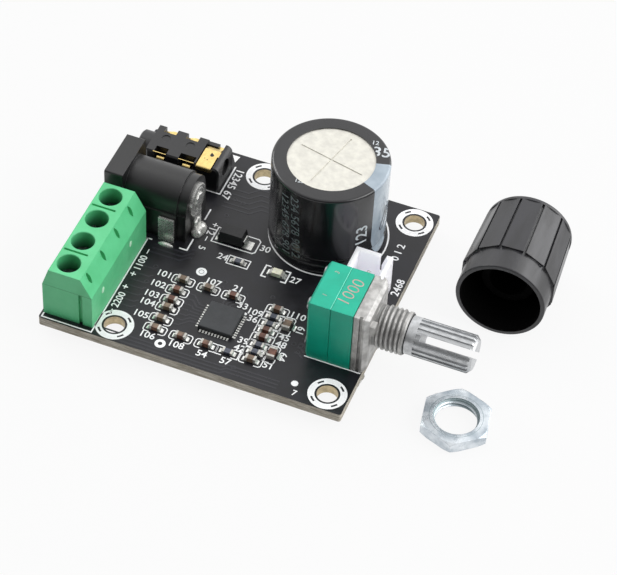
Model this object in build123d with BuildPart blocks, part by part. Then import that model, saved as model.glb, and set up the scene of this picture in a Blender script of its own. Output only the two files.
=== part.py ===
from build123d import *
import os
from math import atan, cos, hypot, pi, radians, sin, tan

os.makedirs("parts", exist_ok=True)

# Circuit board, with the origin at the front left screw hole on the underside
board_width = 49.5
board_depth = 45.0
board_thickness = 1.6
board_corner = 0.4
screw_hole_radius = 1.65
hole_edge = 3.15
front_left_hole_inset = 11.35
back_left_hole_inset = 20.45
right_hole_inset = 3.3

# Leads through the board and their solder
lead_tail = 1.8
solder_height = 1.1
solder_spread = 0.45
solder_lip = 0.1

# Gaps between pieces that turn, slide or are fitted
running_gap = 0.03
slide_gap = 0.08
seat_gap = 0.05
facing_gap = 0.3
lead_in_angle = 45.0

# Screw terminals
terminal_ways = 4
terminal_pitch = 5.08
terminal_inset = 0.35
terminal_front = 1.2
terminal_depth = 8.2
terminal_height = 9.9
terminal_shoulder = 6.45
terminal_nose = 1.1
terminal_slope = 1.84
well_inset = 3.36
well_radius = 1.82
well_rim = 0.1
ledge_thickness = 0.6
entry_width = 3.0
entry_height = 2.3
entry_floor = 0.6
entry_flare = 0.4
divider_width = 0.35
divider_depth = 0.4
divider_length = 3.95
notch_width = 0.8
notch_length = 2.15
notch_depth = 0.6
notch_start = 0.2
notch_offset = 0.6
end_groove_width = 0.6
end_groove_depth = 0.45
end_groove_inset = 6.3

# Clamp screws and cages
screw_head_radius = 1.67
screw_head_height = 1.4
screw_shank_radius = 1.2
screw_slot_width = 0.6
screw_slot_depth = 0.6
screw_edge = 0.2
cage_length = 3.4
cage_width = 3.9
cage_wall = 0.6
cage_roof = 0.9
cage_floor = 0.5
cage_lift = 0.3
wire_space = 1.5
cage_travel = 1.0
cage_corner = 0.3
bar_thickness = 0.6
bar_width = 2.0
leg_width = 1.0
leg_thickness = 0.8
slot_turn = 37.0

# Power jack
jack_inset = 0.9
jack_axis_v = 27.34
jack_axis_height = 6.05
flange_thickness = 3.1
flange_width = 9.0
flange_height = 11.0
flange_corner = 0.3
barrel_radius = 4.2
barrel_foot_width = 8.8
barrel_foot_height = 5.6
jack_length = 13.6
jack_rear_wall = 1.3
rear_step_length = 1.5
rear_step = 0.3
socket_radius = 3.15
socket_mouth = 0.4
pin_radius = 1.0
pin_recess = 1.2
pin_neck_radius = 0.7
pin_lead_in = 0.35
rivet_radius = 1.4
rivet_height = 0.4
rivet_edge = 0.3
strap_thickness = 0.4
strap_disc_radius = 2.8
strap_width = 2.8
strap_tail_width = 2.2
jack_spring_width = 2.0
jack_spring_thickness = 0.3
jack_spring_channel = 1.1
jack_spring_inset = 7.0
jack_spring_rise = 0.5
jack_spring_foot = 1.2
side_lug_inset = 10.6
side_lug_width = 2.6
side_lug_height = 4.8
side_lug_gap = 0.35
side_lug_arm = 1.6

# Audio jack
audio_inset = 2.35
audio_front_v = 35.4
audio_length = 12.6
audio_width = 6.2
audio_height = 5.0
audio_edge = 0.25
audio_end_round = 1.0
end_hollow_radius = 1.4
end_hollow_lift = 0.6
end_hollow_depth = 0.5
nozzle_radius = 2.5
nozzle_length = 2.1
nozzle_edge = 0.25
audio_bore_radius = 1.8
audio_bore_depth = 13.2
contact_thickness = 0.25
contact_width = 1.3
contact_bend = 0.3
tip_contact_reach = 4.0
tip_contact_tail = 1.2
tip_slot_inset = 8.55
tip_slot_width = 2.95
tip_slot_wall = 0.75
tip_contact_width = 2.5
tip_hook = 0.7
tip_arm_width = 1.0
tip_arm_drop = 1.1
back_pocket_width = 2.1
back_pocket_depth = 1.4
back_pocket_insets = (1.15, 4.95)
front_pocket_widths = (2.1, 2.7)
front_pocket_depth = 1.4
front_pocket_insets = (1.4, 5.6)
mould_mark_radius = 0.75
mould_mark_depth = 0.12
mould_mark_insets = (2.1, 6.3)
mould_mark_setback = 3.5
pocket_floor = 0.8

# Large capacitor
can_u = 34.04
can_v = 34.43
can_radius = 9.1
can_height = 16.2
can_shoulder = 0.25
can_base_lip = 1.0
can_waist = 0.25
can_waist_width = 1.8
vent_groove = 0.25
vent_length = 11.2
vent_turns = (-13.0, 77.0)
sleeve_thickness = 0.18
sleeve_opening = 6.9
sleeve_hem_radius = 8.3
seal_radius = 8.2
seal_thickness = 1.0
can_lead_pitch = 7.5
can_lead_radius = 0.4

# Volume potentiometer
pot_u = 40.24
pot_v = 13.59
pot_width = 9.3
pot_height = 11.9
pot_axis_height = 6.6
wafer_count = 2
wafer_thickness = 3.6
wafer_edges = (0.35, 0.12)
wafer_wall = 0.9
rotor_margin = 0.75
rotor_thickness = 1.5
track_thickness = 0.6
frame_thickness = 2.5
frame_edge = 0.6
frame_back_edge = 0.2
frame_notch = 0.5
locating_lug_width = 1.4
locating_lug_height = 1.8
locating_lug_reach = 0.8
locating_lug_rise = 9.2
frame_post = 0.9
frame_post_inset = 0.65
bushing_radius = 3.5
bushing_length = 5.0
bushing_chamfer = 0.4
relief_radius = 3.2
relief_length = 1.1
shaft_radius = 3.0
shaft_core_radius = 1.7
shaft_reach = 10.6
shaft_collar = 1.5
spline_count = 18
spline_depth = 0.3
spline_width = 0.62
shaft_slot_width = 1.1
shaft_slot_length = 8.3
shaft_slot_angle = 41.0
shaft_tip_chamfer = 0.6
pot_pin_pitch = 2.5
pot_pin_width = 0.9
pot_pin_thickness = 0.3
pot_rivet_radius = 0.6
pot_rivet_head = 1.0
pot_rivet_rise = 0.25
pot_rivet_inset = 1.25
pot_rivet_lift = 4.0
pot_eyelet_height = 0.6
track_inset = 0.5
wiper_thickness = 0.15
wiper_setback = 0.8
wiper_width = 1.2

# Two pin header
header_u = 41.6
header_v = 19.2
header_width = 6.0
header_length = 7.7
header_height = 7.2
header_wall = 0.7
header_floor = 1.8
header_slot_inset = 4.0
header_slot_width = 0.4
header_slot_floor = 3.6
header_slot_flare = 0.55
header_slot_flare_depth = 1.8
header_pin = 0.64
header_pin_pitch = 2.5
header_pin_height = 5.4

# Small surface mounted pieces
pad_height = 0.05
chip_u = 26.05
chip_v = 10.19
chip_size = 5.5
chip_height = 0.85
chip_chamfer = 0.1
chip_pad_pitch = 0.5
chip_pads_a_side = 10
chip_pad_width = 0.25
chip_pad_reach = 0.3
chip_pad_length = 0.6
chip_pad_skin = 0.08
chip_pad_rise = 0.4
small_chip = (1.7, 0.85)
large_chip = (1.9, 1.2)
lamp_chip = (2.2, 1.15)
capacitor_chip_height = 0.8
resistor_chip_height = 0.45
end_cap_length = 0.35
end_cap_wall = 0.03
left_column_u = 17.4
left_column_vs = (15.65, 13.3, 11.1, 9.4, 6.95, 4.8)
inner_column_us = (21.65, 25.8)
inner_row_vs = (4.8, 15.6)
right_column_u = 33.15
right_capacitor_vs = (15.65, 11.0, 9.5, 4.7)
right_resistor_vs = (14.1, 12.5, 7.9, 6.4)
turned_column_u = 35.7
turned_capacitor_vs = (13.3, 7.0)
lone_resistor_u = 29.35
middle_resistor_u = 23.7
middle_row_setback = 11.73
diode_u = 21.1
diode_v = 26.9
diode_length = 4.2
diode_width = 2.6
diode_height = 2.1
diode_draft = 7
diode_lead_width = 1.5
diode_lead_thickness = 0.2
diode_lead_rise = 1.0
diode_lead_foot = 0.8
led_u = 30.25
led_lens_height = 0.75

# Knob, which lies on its side beside the shaft
knob_u = 64.84
knob_v = 27.69
knob_yaw = 2.2
knob_length = 17.0
knob_collar_length = 4.3
knob_body_radius = 7.6
knob_end_radius = 7.1
knob_panels = 12
knob_panel_rise = 0.25
knob_groove_width = 0.4
knob_rim_length = 0.9
knob_rim_inset = 0.1
knob_rim_round = 0.5
knob_mouth_round = 0.2
knob_wall = 0.7
knob_roof = 1.6
knob_hub_radius = 4.2
knob_hub_recess = 4.8
knob_bore_gap = 0.05

# Panel nut, which lies flat beside the shaft
nut_u = 65.15
nut_v = 7.9
nut_sides = 6
nut_turn = 40.0
nut_across_flats = 10.0
nut_thickness = 2.0
nut_bore_radius = 3.2
nut_chamfer = 0.55
nut_bore_chamfer = 0.35
nut_chamfer_angle = 30.0

# Places that follow from the sizes
left = -front_left_hole_inset
front = -hole_edge
right = left + board_width
back = front + board_depth
top = board_thickness
floor = -lead_tail
screw_holes = [
    (0, 0),
    (right - right_hole_inset, 0),
    (right - right_hole_inset, back - hole_edge),
    (left + back_left_hole_inset, back - hole_edge),
]


def upright(x, y, z):
    """A plane seen from the front, whose X runs right and whose Y runs up."""
    return Plane(origin=(x, y, z), x_dir=(1, 0, 0), z_dir=(0, -1, 0))


def crosswise(x, y, z):
    """A plane seen from the right, whose X runs back and whose Y runs up."""
    return Plane(origin=(x, y, z), x_dir=(0, 1, 0), z_dir=(1, 0, 0))


def save(piece, name):
    piece.part.label = name
    export_step(piece.part, f"parts/{name}.step")


def bent_strip(plane, points, thickness, width, bend):
    """A strip of sheet metal bent along the points and as wide as given, centred on the plane."""
    with BuildPart() as strip:
        with BuildSketch(plane):
            with BuildLine():
                FilletPolyline(*points, radius=bend)
            trace(line_width=thickness)
        extrude(amount=width / 2, both=True)
    return strip.part


# Terminal places
terminal_x = left + terminal_inset
terminal_y = front + terminal_front
terminal_length = terminal_ways * terminal_pitch
well_x = terminal_x + well_inset
way_ys = [terminal_y + terminal_pitch * (way + 0.5) for way in range(terminal_ways)]
cage_height = cage_floor + wire_space + bar_thickness + 2 * seat_gap + cage_roof
ledge_height = cage_lift + cage_height + cage_travel + 2 * seat_gap
ledge_top = ledge_height + ledge_thickness
chamber_length = cage_length + 2 * slide_gap
chamber_width = cage_width + 2 * slide_gap
leg_x = well_x + chamber_length / 2 + leg_thickness / 2
bar_floor = cage_lift + cage_floor + wire_space
bar_top = bar_floor + bar_thickness

# Power jack places
jack_x = left + jack_inset
jack_y = front + jack_axis_v
jack_rear_x = jack_x + jack_length
jack_axis_z = top + jack_axis_height
strap_x = jack_rear_x + strap_thickness / 2
spring_x = jack_x + jack_spring_inset
side_lug_x = jack_x + side_lug_inset
side_lug_y = jack_y - barrel_foot_width / 2 - side_lug_gap

# Audio jack places
audio_x = left + audio_inset
audio_y = front + audio_front_v
audio_axis_y = audio_y + audio_width / 2
audio_axis_z = top + audio_height / 2
tip_x = audio_x + tip_slot_inset + tip_slot_width / 2
front_pocket_xs = [
    audio_x + inset + width / 2 for inset, width in zip(front_pocket_insets, front_pocket_widths)
]
back_pocket_xs = [audio_x + inset + back_pocket_width / 2 for inset in back_pocket_insets]
front_lead_y = audio_y - contact_thickness / 2
back_lead_y = audio_y + audio_width + contact_thickness / 2
tip_arm_x = tip_x + (tip_slot_width - tip_arm_width) / 2 - running_gap

# Capacitor, potentiometer and header places
can_x = left + can_u
can_y = front + can_v
middle_row_v = can_v - middle_row_setback
can_lead_xs = [can_x - can_lead_pitch / 2, can_x + can_lead_pitch / 2]
pot_x = left + pot_u
pot_y = front + pot_v
pot_axis_z = top + pot_axis_height
frame_x = pot_x + wafer_count * wafer_thickness
bushing_x = frame_x + frame_thickness
shaft_end_x = bushing_x + bushing_length + shaft_reach
rotor_radius = pot_width / 2 - rotor_margin
wiper_reach = rotor_radius - wiper_setback
track_xs = [pot_x + wafer_thickness * (wafer + 1) - track_thickness / 2 for wafer in range(wafer_count)]
pot_pin_ys = [pot_y + pot_pin_pitch * step for step in (-1, 0, 1)]
eyelet_lift = track_inset + pot_eyelet_height - pot_height / 2
post_x = frame_x + frame_thickness / 2
post_ys = [pot_y + side * (pot_width / 2 - frame_post_inset) for side in (-1, 1)]
pot_rivet_places = [
    (side * (pot_width / 2 - pot_rivet_inset), pot_axis_height - pot_height / 2 + lift * pot_rivet_lift)
    for side in (-1, 1)
    for lift in (-1, 1)
]
header_x = left + header_u + header_width / 2
header_y = front + header_v + header_length / 2
header_pin_ys = [header_y - header_pin_pitch / 2, header_y + header_pin_pitch / 2]

# Every lead that goes through the board, as its place and its section
square_leads = [(leg_x, y, leg_thickness, leg_width) for y in way_ys]
square_leads += [(strap_x, jack_y, strap_thickness, strap_tail_width)]
square_leads += [(spring_x, jack_y, jack_spring_thickness, jack_spring_width)]
square_leads += [(side_lug_x, side_lug_y, side_lug_arm, strap_thickness)]
square_leads += [(tip_arm_x, back_lead_y, tip_arm_width, contact_thickness)]
square_leads += [(x, front_lead_y, contact_width, contact_thickness) for x in front_pocket_xs]
square_leads += [(x, back_lead_y, contact_width, contact_thickness) for x in back_pocket_xs]
square_leads += [(x, y, pot_pin_thickness, pot_pin_width) for x in track_xs for y in pot_pin_ys]
square_leads += [(post_x, y, frame_post, frame_post) for y in post_ys]
square_leads += [(header_x, y, header_pin, header_pin) for y in header_pin_ys]
round_leads = [(x, can_y, can_lead_radius) for x in can_lead_xs]

# Board, bored for its screws and pierced for every lead
with BuildPart() as circuit_board:
    with BuildSketch():
        with Locations(((left + right) / 2, (front + back) / 2)):
            RectangleRounded(board_width, board_depth, board_corner)
        with Locations(*screw_holes):
            Circle(screw_hole_radius, mode=Mode.SUBTRACT)
        for x, y, along_x, along_y in square_leads:
            with Locations((x, y)):
                Rectangle(along_x, along_y, mode=Mode.SUBTRACT)
        for x, y, radius in round_leads:
            with Locations((x, y)):
                Circle(radius, mode=Mode.SUBTRACT)
    extrude(amount=board_thickness)
save(circuit_board, "circuit_board")

# Solder cones under the board, one round each lead
with BuildPart() as solder_joints:
    for x, y, along_x, along_y in square_leads:
        reach = hypot(along_x, along_y) / 2
        with Locations((x, y, 0)):
            Cone(
                reach + solder_lip,
                reach + solder_spread,
                solder_height,
                align=(Align.CENTER, Align.CENTER, Align.MAX),
            )
            Box(along_x, along_y, 3 * solder_height, mode=Mode.SUBTRACT)
    for x, y, radius in round_leads:
        with Locations((x, y, 0)):
            Cone(
                radius + solder_lip,
                radius + solder_spread,
                solder_height,
                align=(Align.CENTER, Align.CENTER, Align.MAX),
            )
            Cylinder(radius, 3 * solder_height, mode=Mode.SUBTRACT)
save(solder_joints, "solder_joints")

# Terminal housing, moulded with a well, a cage chamber and a wire entry for each way
with BuildPart() as terminal_housing:
    with BuildSketch(upright(terminal_x, terminal_y, top)):
        with BuildLine():
            Polyline(
                (0, 0),
                (terminal_depth, 0),
                (terminal_depth, terminal_shoulder),
                (terminal_depth - terminal_slope, terminal_height),
                (terminal_nose, terminal_height),
                (0, terminal_shoulder),
                close=True,
            )
        make_face()
    extrude(amount=-terminal_length)
    with BuildSketch(Plane.XY.offset(top + terminal_height)):
        with Locations(*[(well_x, y) for y in way_ys]):
            Circle(well_radius)
    extrude(amount=ledge_top - terminal_height, mode=Mode.SUBTRACT)
    with BuildSketch(Plane.XY.offset(top + terminal_height)):
        with Locations(*[(well_x, y) for y in way_ys]):
            Circle(well_radius + well_rim)
    extrude(amount=-well_rim, taper=lead_in_angle, mode=Mode.SUBTRACT)
    with BuildSketch(Plane.XY.offset(top + ledge_top)):
        with Locations(*[(well_x, y) for y in way_ys]):
            Circle(screw_shank_radius + slide_gap)
    extrude(amount=-ledge_thickness, mode=Mode.SUBTRACT)
    with BuildSketch(Plane.XY.offset(top)):
        with Locations(*[(well_x, y) for y in way_ys]):
            Rectangle(chamber_length, chamber_width)
    extrude(amount=ledge_height, mode=Mode.SUBTRACT)
    with BuildSketch(Plane.XY.offset(top)):
        with Locations(*[(leg_x, y) for y in way_ys]):
            Rectangle(leg_thickness + 2 * running_gap, leg_width + 2 * running_gap)
    extrude(amount=bar_top + running_gap, mode=Mode.SUBTRACT)
    entry_z = top + entry_floor + entry_height / 2
    entry_plane = Plane(origin=(terminal_x, 0, entry_z), x_dir=(0, -1, 0), z_dir=(-1, 0, 0))
    with BuildSketch(entry_plane):
        with Locations(*[(-y, 0) for y in way_ys]):
            Rectangle(entry_width, entry_height)
    extrude(amount=-well_inset, mode=Mode.SUBTRACT)
    with BuildSketch(entry_plane):
        with Locations(*[(-y, 0) for y in way_ys]):
            Rectangle(entry_width + 2 * entry_flare, entry_height + 2 * entry_flare)
    extrude(amount=-entry_flare, taper=lead_in_angle, mode=Mode.SUBTRACT)
    with BuildSketch(Plane.XY.offset(top + terminal_height)):
        with Locations(*[(well_x, y + terminal_pitch / 2) for y in way_ys[::2]]):
            Rectangle(divider_length, divider_width)
    extrude(amount=-divider_depth, mode=Mode.SUBTRACT)
    slope_x = terminal_x + terminal_depth - terminal_slope
    slope_fall = (terminal_slope, 0, terminal_shoulder - terminal_height)
    slope_out = (terminal_height - terminal_shoulder, 0, terminal_slope)
    for y in way_ys:
        slope_corner = (slope_x, y - notch_offset, top + terminal_height)
        with BuildSketch(Plane(origin=slope_corner, x_dir=slope_fall, z_dir=slope_out)):
            with BuildLine():
                tips = ((notch_start, 0), (notch_start + notch_length, 0))
                middle = notch_start + notch_length / 2
                ThreePointArc(tips[0], (middle, notch_width / 2), tips[1])
                ThreePointArc(tips[0], (middle, -notch_width / 2), tips[1])
            make_face()
        extrude(amount=-notch_depth, mode=Mode.SUBTRACT)
    with BuildSketch(Plane.XY.offset(top)):
        with Locations((terminal_x + end_groove_inset, terminal_y + end_groove_depth / 2)):
            Rectangle(end_groove_width, end_groove_depth)
    extrude(amount=terminal_shoulder, mode=Mode.SUBTRACT)
    with BuildSketch(Plane.XY.offset(top)):
        tongue_y = terminal_y + terminal_length + (end_groove_depth - seat_gap) / 2
        with Locations((terminal_x + end_groove_inset, tongue_y)):
            Rectangle(end_groove_width - 2 * seat_gap, end_groove_depth - seat_gap)
    extrude(amount=terminal_shoulder - seat_gap)
save(terminal_housing, "terminal_housing")

# Contact bars, each passing through its cage and down through the board
with BuildPart() as terminal_contacts:
    bar_start = well_x - cage_length / 2
    for y in way_ys:
        with Locations(((bar_start + leg_x - leg_thickness / 2) / 2, y, top + bar_floor)):
            Box(
                leg_x - leg_thickness / 2 - bar_start,
                bar_width,
                bar_thickness,
                align=(Align.CENTER, Align.CENTER, Align.MIN),
            )
        with Locations((leg_x, y, floor)):
            Box(
                leg_thickness,
                leg_width,
                top + bar_top - floor,
                align=(Align.CENTER, Align.CENTER, Align.MIN),
            )
save(terminal_contacts, "terminal_contacts")

# Clamp screws, each with a slotted head that turns on the ledge
for way, y in enumerate(way_ys):
    with BuildPart() as terminal_screw:
        with BuildSketch(Plane.XY.offset(top + bar_top + seat_gap)):
            with Locations((well_x, y)):
                Circle(screw_shank_radius)
        extrude(amount=ledge_top - bar_top)
        with BuildSketch(Plane.XY.offset(top + ledge_top + seat_gap / 2)):
            with Locations((well_x, y)):
                Circle(screw_head_radius)
        extrude(amount=screw_head_height)
        chamfer(terminal_screw.edges().group_by(Axis.Z)[-1], length=screw_edge)
        with BuildSketch(Plane.XY.offset(top + ledge_top + screw_head_height + seat_gap / 2)):
            with Locations(Location((well_x, y, 0), (0, 0, slot_turn * (way + 1)))):
                Rectangle(3 * screw_head_radius, screw_slot_width)
        extrude(amount=-screw_slot_depth, mode=Mode.SUBTRACT)
    save(terminal_screw, f"terminal_screw_{way + 1}")

# Clamp cages, each a loop round its contact bar that its screw lifts
for way, y in enumerate(way_ys):
    with BuildPart() as terminal_cage:
        with BuildSketch(crosswise(well_x, y, top + cage_lift)):
            with Locations((0, cage_height / 2)):
                RectangleRounded(cage_width, cage_height, cage_corner)
            with Locations((0, (cage_floor + cage_height - cage_roof) / 2)):
                Rectangle(
                    cage_width - 2 * cage_wall,
                    cage_height - cage_roof - cage_floor,
                    mode=Mode.SUBTRACT,
                )
        extrude(amount=cage_length / 2, both=True)
        with BuildSketch(Plane.XY.offset(top + cage_lift + cage_height)):
            with Locations((well_x, y)):
                Circle(screw_shank_radius + running_gap)
        extrude(amount=-cage_roof, mode=Mode.SUBTRACT)
    save(terminal_cage, f"terminal_cage_{way + 1}")

# Power jack housing, a flange and a barrel bored for the plug
with BuildPart() as power_jack_housing:
    with BuildSketch(crosswise(jack_x, jack_y, top)):
        with Locations((0, flange_height / 2)):
            RectangleRounded(flange_width, flange_height, flange_corner)
    extrude(amount=flange_thickness)
    with BuildSketch(crosswise(jack_x, jack_y, top)):
        with Locations((0, jack_axis_height)):
            Circle(barrel_radius)
        with Locations((0, barrel_foot_height / 2)):
            Rectangle(barrel_foot_width, barrel_foot_height)
    extrude(amount=jack_length - rear_step_length)
    with BuildSketch(crosswise(jack_rear_x, jack_y, top)):
        with Locations((0, jack_axis_height)):
            Circle(barrel_radius - rear_step)
        with Locations((0, barrel_foot_height / 2)):
            Rectangle(barrel_foot_width - 2 * rear_step, barrel_foot_height)
    extrude(amount=-rear_step_length)
    with BuildSketch(crosswise(jack_x, jack_y, jack_axis_z)):
        Circle(socket_radius)
    extrude(amount=jack_length - jack_rear_wall, mode=Mode.SUBTRACT)
    with BuildSketch(crosswise(jack_x, jack_y, jack_axis_z)):
        Circle(socket_radius + socket_mouth)
    extrude(amount=socket_mouth, taper=lead_in_angle, mode=Mode.SUBTRACT)
    with BuildSketch(crosswise(jack_rear_x, jack_y, jack_axis_z)):
        Circle(pin_neck_radius)
    extrude(amount=-jack_rear_wall, mode=Mode.SUBTRACT)
    channel_end = jack_length - jack_rear_wall
    channel_start = jack_spring_inset - jack_spring_thickness
    with BuildSketch(Plane.XY.offset(jack_axis_z)):
        with Locations((jack_x + (channel_start + channel_end) / 2, jack_y)):
            Rectangle(channel_end - channel_start, jack_spring_width + 4 * seat_gap)
    extrude(amount=-socket_radius - jack_spring_channel, mode=Mode.SUBTRACT)
    with BuildSketch(Plane.XY.offset(top)):
        with Locations((spring_x, jack_y)):
            Rectangle(jack_spring_thickness, jack_spring_width)
    extrude(amount=jack_axis_height - socket_radius, mode=Mode.SUBTRACT)
save(power_jack_housing, "power_jack_housing")

# Centre pin of the power jack, riveted through the rear wall and its strap
with BuildPart() as power_jack_pin:
    with BuildSketch(crosswise(jack_x + pin_recess, jack_y, jack_axis_z)):
        Circle(pin_radius)
    extrude(amount=jack_length - jack_rear_wall - pin_recess)
    chamfer(power_jack_pin.edges().group_by(Axis.X)[0], length=pin_lead_in)
    with BuildSketch(crosswise(jack_rear_x - jack_rear_wall, jack_y, jack_axis_z)):
        Circle(pin_neck_radius)
    extrude(amount=jack_rear_wall + strap_thickness)
    with BuildSketch(crosswise(jack_rear_x + strap_thickness, jack_y, jack_axis_z)):
        Circle(rivet_radius)
    extrude(amount=rivet_height)
    fillet(power_jack_pin.edges().group_by(Axis.X)[-1], radius=rivet_edge)
save(power_jack_pin, "power_jack_pin")

# Strap that carries the centre pin's current from its rivet down to the board
with BuildPart() as power_jack_strap:
    with BuildSketch(crosswise(jack_rear_x, jack_y, 0)):
        with Locations((0, jack_axis_z)):
            Circle(strap_disc_radius)
        with Locations((0, (top + jack_axis_z) / 2)):
            Rectangle(strap_width, jack_axis_z - top)
        with Locations((0, (floor + top) / 2)):
            Rectangle(strap_tail_width, top - floor)
        with Locations((0, jack_axis_z)):
            Circle(pin_neck_radius, mode=Mode.SUBTRACT)
    extrude(amount=strap_thickness)
save(power_jack_strap, "power_jack_strap")

# Leaf spring that presses on the plug's sleeve from below
spring_root_z = jack_axis_z - socket_radius - jack_spring_channel + contact_bend + seat_gap
spring_end_x = jack_rear_x - jack_rear_wall - facing_gap
spring_peak_x = (spring_x + spring_end_x) / 2
spring_leaf = bent_strip(
    upright(0, jack_y, 0),
    [
        (spring_x, floor),
        (spring_x, spring_root_z),
        (spring_x + jack_spring_foot, spring_root_z),
        (spring_peak_x, jack_axis_z - socket_radius + jack_spring_rise),
        (spring_end_x, spring_root_z + jack_spring_thickness),
    ],
    jack_spring_thickness,
    jack_spring_width,
    contact_bend,
)
with BuildPart() as power_jack_spring:
    add(spring_leaf)
save(power_jack_spring, "power_jack_spring")

# Switch lug beside the barrel, standing on the board
with BuildPart() as power_jack_side_lug:
    with BuildSketch(upright(side_lug_x, side_lug_y, 0)):
        with Locations((0, (top + top + side_lug_height) / 2)):
            Rectangle(side_lug_width, side_lug_height)
        with Locations((0, (floor + top) / 2)):
            Rectangle(side_lug_arm, top - floor)
    extrude(amount=strap_thickness / 2, both=True)
    with BuildSketch(crosswise(side_lug_x, side_lug_y, top + side_lug_height - strap_thickness)):
        with Locations((side_lug_gap / 2, 0)):
            Rectangle(side_lug_gap, strap_thickness)
    extrude(amount=side_lug_arm / 2, both=True)
save(power_jack_side_lug, "power_jack_side_lug")

# Audio jack housing, a moulded block with a nozzle, open pockets and a bore for the plug
with BuildPart() as audio_jack_housing:
    with BuildSketch(Plane.XY.offset(top)):
        with Locations((audio_x + audio_length / 2, audio_axis_y)):
            Rectangle(audio_length, audio_width)
    extrude(amount=audio_height)
    end_rim = audio_jack_housing.edges().filter_by(Axis.Y).group_by(Axis.X)[-1].sort_by(Axis.Z)[-1]
    fillet(end_rim, radius=audio_end_round)
    chamfer(audio_jack_housing.edges().filter_by(Axis.Z), length=audio_edge)
    with BuildSketch(crosswise(audio_x + audio_length, audio_axis_y, audio_axis_z + end_hollow_lift)):
        Circle(end_hollow_radius)
    extrude(amount=-end_hollow_depth, mode=Mode.SUBTRACT)
    with BuildSketch(crosswise(audio_x, audio_axis_y, audio_axis_z)):
        Circle(nozzle_radius)
    extrude(amount=-nozzle_length)
    chamfer(audio_jack_housing.edges().group_by(Axis.X)[0], length=nozzle_edge)
    with BuildSketch(crosswise(audio_x - nozzle_length, audio_axis_y, audio_axis_z)):
        Circle(audio_bore_radius)
    extrude(amount=audio_bore_depth, mode=Mode.SUBTRACT)
    with BuildSketch(Plane.XY.offset(top + audio_height)):
        with Locations((tip_x, audio_axis_y)):
            Rectangle(tip_slot_width, audio_width)
    extrude(amount=-2 * contact_thickness, mode=Mode.SUBTRACT)
    with BuildSketch(Plane.XY.offset(top + audio_height)):
        with Locations((tip_x, audio_y + audio_width - tip_slot_wall - back_pocket_depth)):
            Rectangle(tip_slot_width, 2 * back_pocket_depth)
    extrude(amount=pocket_floor - audio_height, mode=Mode.SUBTRACT)
    with BuildSketch(Plane.XY.offset(top + audio_height)):
        with Locations((tip_arm_x, audio_y + audio_width - tip_slot_wall)):
            Rectangle(tip_arm_width + 2 * running_gap, 2 * tip_slot_wall)
    extrude(amount=-tip_arm_drop - 2 * contact_thickness, mode=Mode.SUBTRACT)
    with BuildSketch(Plane.XY.offset(top + audio_height)):
        with Locations(
            *[(audio_x + inset, audio_y + mould_mark_setback) for inset in mould_mark_insets]
        ):
            Circle(mould_mark_radius)
    extrude(amount=-mould_mark_depth, mode=Mode.SUBTRACT)
    with BuildSketch(Plane.XY.offset(top + audio_height)):
        for x, width in zip(front_pocket_xs, front_pocket_widths):
            with Locations((x, audio_y + front_pocket_depth / 2)):
                Rectangle(width, front_pocket_depth)
        with Locations(*[(x, audio_y + audio_width - back_pocket_depth / 2) for x in back_pocket_xs]):
            Rectangle(back_pocket_width, back_pocket_depth)
    extrude(amount=pocket_floor - audio_height, mode=Mode.SUBTRACT)
save(audio_jack_housing, "audio_jack_housing")

# Tip contact, hooked over the front wall, with a tail beside the plug and an arm down the back wall
strap_top_z = top + audio_height - contact_thickness / 2
tip_drop_y = audio_y + tip_contact_reach
tip_tail_y = tip_drop_y + tip_contact_tail
tip_blade = bent_strip(
    crosswise(tip_x, 0, 0),
    [
        (front_lead_y, strap_top_z - tip_hook),
        (front_lead_y, strap_top_z),
        (tip_drop_y, strap_top_z),
        (tip_tail_y, strap_top_z - 2 * contact_bend),
        (tip_tail_y, top + pocket_floor + contact_thickness),
    ],
    contact_thickness,
    tip_contact_width,
    contact_bend,
)
tip_arm = bent_strip(
    crosswise(tip_arm_x, 0, 0),
    [
        (tip_drop_y - tip_contact_tail, strap_top_z),
        (tip_drop_y, strap_top_z),
        (tip_tail_y, strap_top_z - tip_arm_drop),
        (back_lead_y, strap_top_z - tip_arm_drop),
        (back_lead_y, floor),
    ],
    contact_thickness,
    tip_arm_width,
    contact_bend,
)
with BuildPart() as audio_tip_contact:
    add(tip_blade)
    add(tip_arm)
save(audio_tip_contact, "audio_tip_contact")

# Four more contacts, each folded over its pocket's rim with a spring tongue inside
tongues = []
for x in front_pocket_xs:
    tongues.append(
        bent_strip(
            crosswise(x, 0, 0),
            [
                (front_lead_y, floor),
                (front_lead_y, top + audio_height / 2),
                (audio_y + front_pocket_depth / 3, top + audio_height - contact_thickness),
                (audio_y + front_pocket_depth - contact_thickness, top + pocket_floor + facing_gap),
            ],
            contact_thickness,
            contact_width,
            contact_bend,
        )
    )
for x in back_pocket_xs:
    tongues.append(
        bent_strip(
            crosswise(x, 0, 0),
            [
                (back_lead_y, floor),
                (back_lead_y, top + audio_height / 2),
                (back_lead_y - back_pocket_depth / 2, top + audio_height - contact_thickness),
                (
                    audio_y + audio_width - back_pocket_depth + contact_thickness,
                    top + pocket_floor + facing_gap,
                ),
            ],
            contact_thickness,
            contact_width,
            contact_bend,
        )
    )
with BuildPart() as audio_jack_contacts:
    add(tongues)
save(audio_jack_contacts, "audio_jack_contacts")

# Capacitor can, drawn in one piece, with a rolled waist and a scored vent
can_floor = top + seal_thickness / 2
can_top = can_height - seal_thickness / 2 - sleeve_thickness


def can_side(skin):
    """The can's side from its base to the flat of its top, moved out by the skin's thickness."""
    radius = can_radius + skin
    waist_top = can_base_lip + can_waist_width
    Line((radius, -skin), (radius, can_base_lip))
    ThreePointArc(
        (radius, can_base_lip),
        (radius - can_waist, can_base_lip + can_waist_width / 2),
        (radius, waist_top),
    )
    Line((radius, waist_top), (radius, can_top - can_shoulder))
    RadiusArc(
        (radius, can_top - can_shoulder),
        (can_radius - can_shoulder, can_top + skin),
        -can_shoulder - skin,
    )


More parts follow.
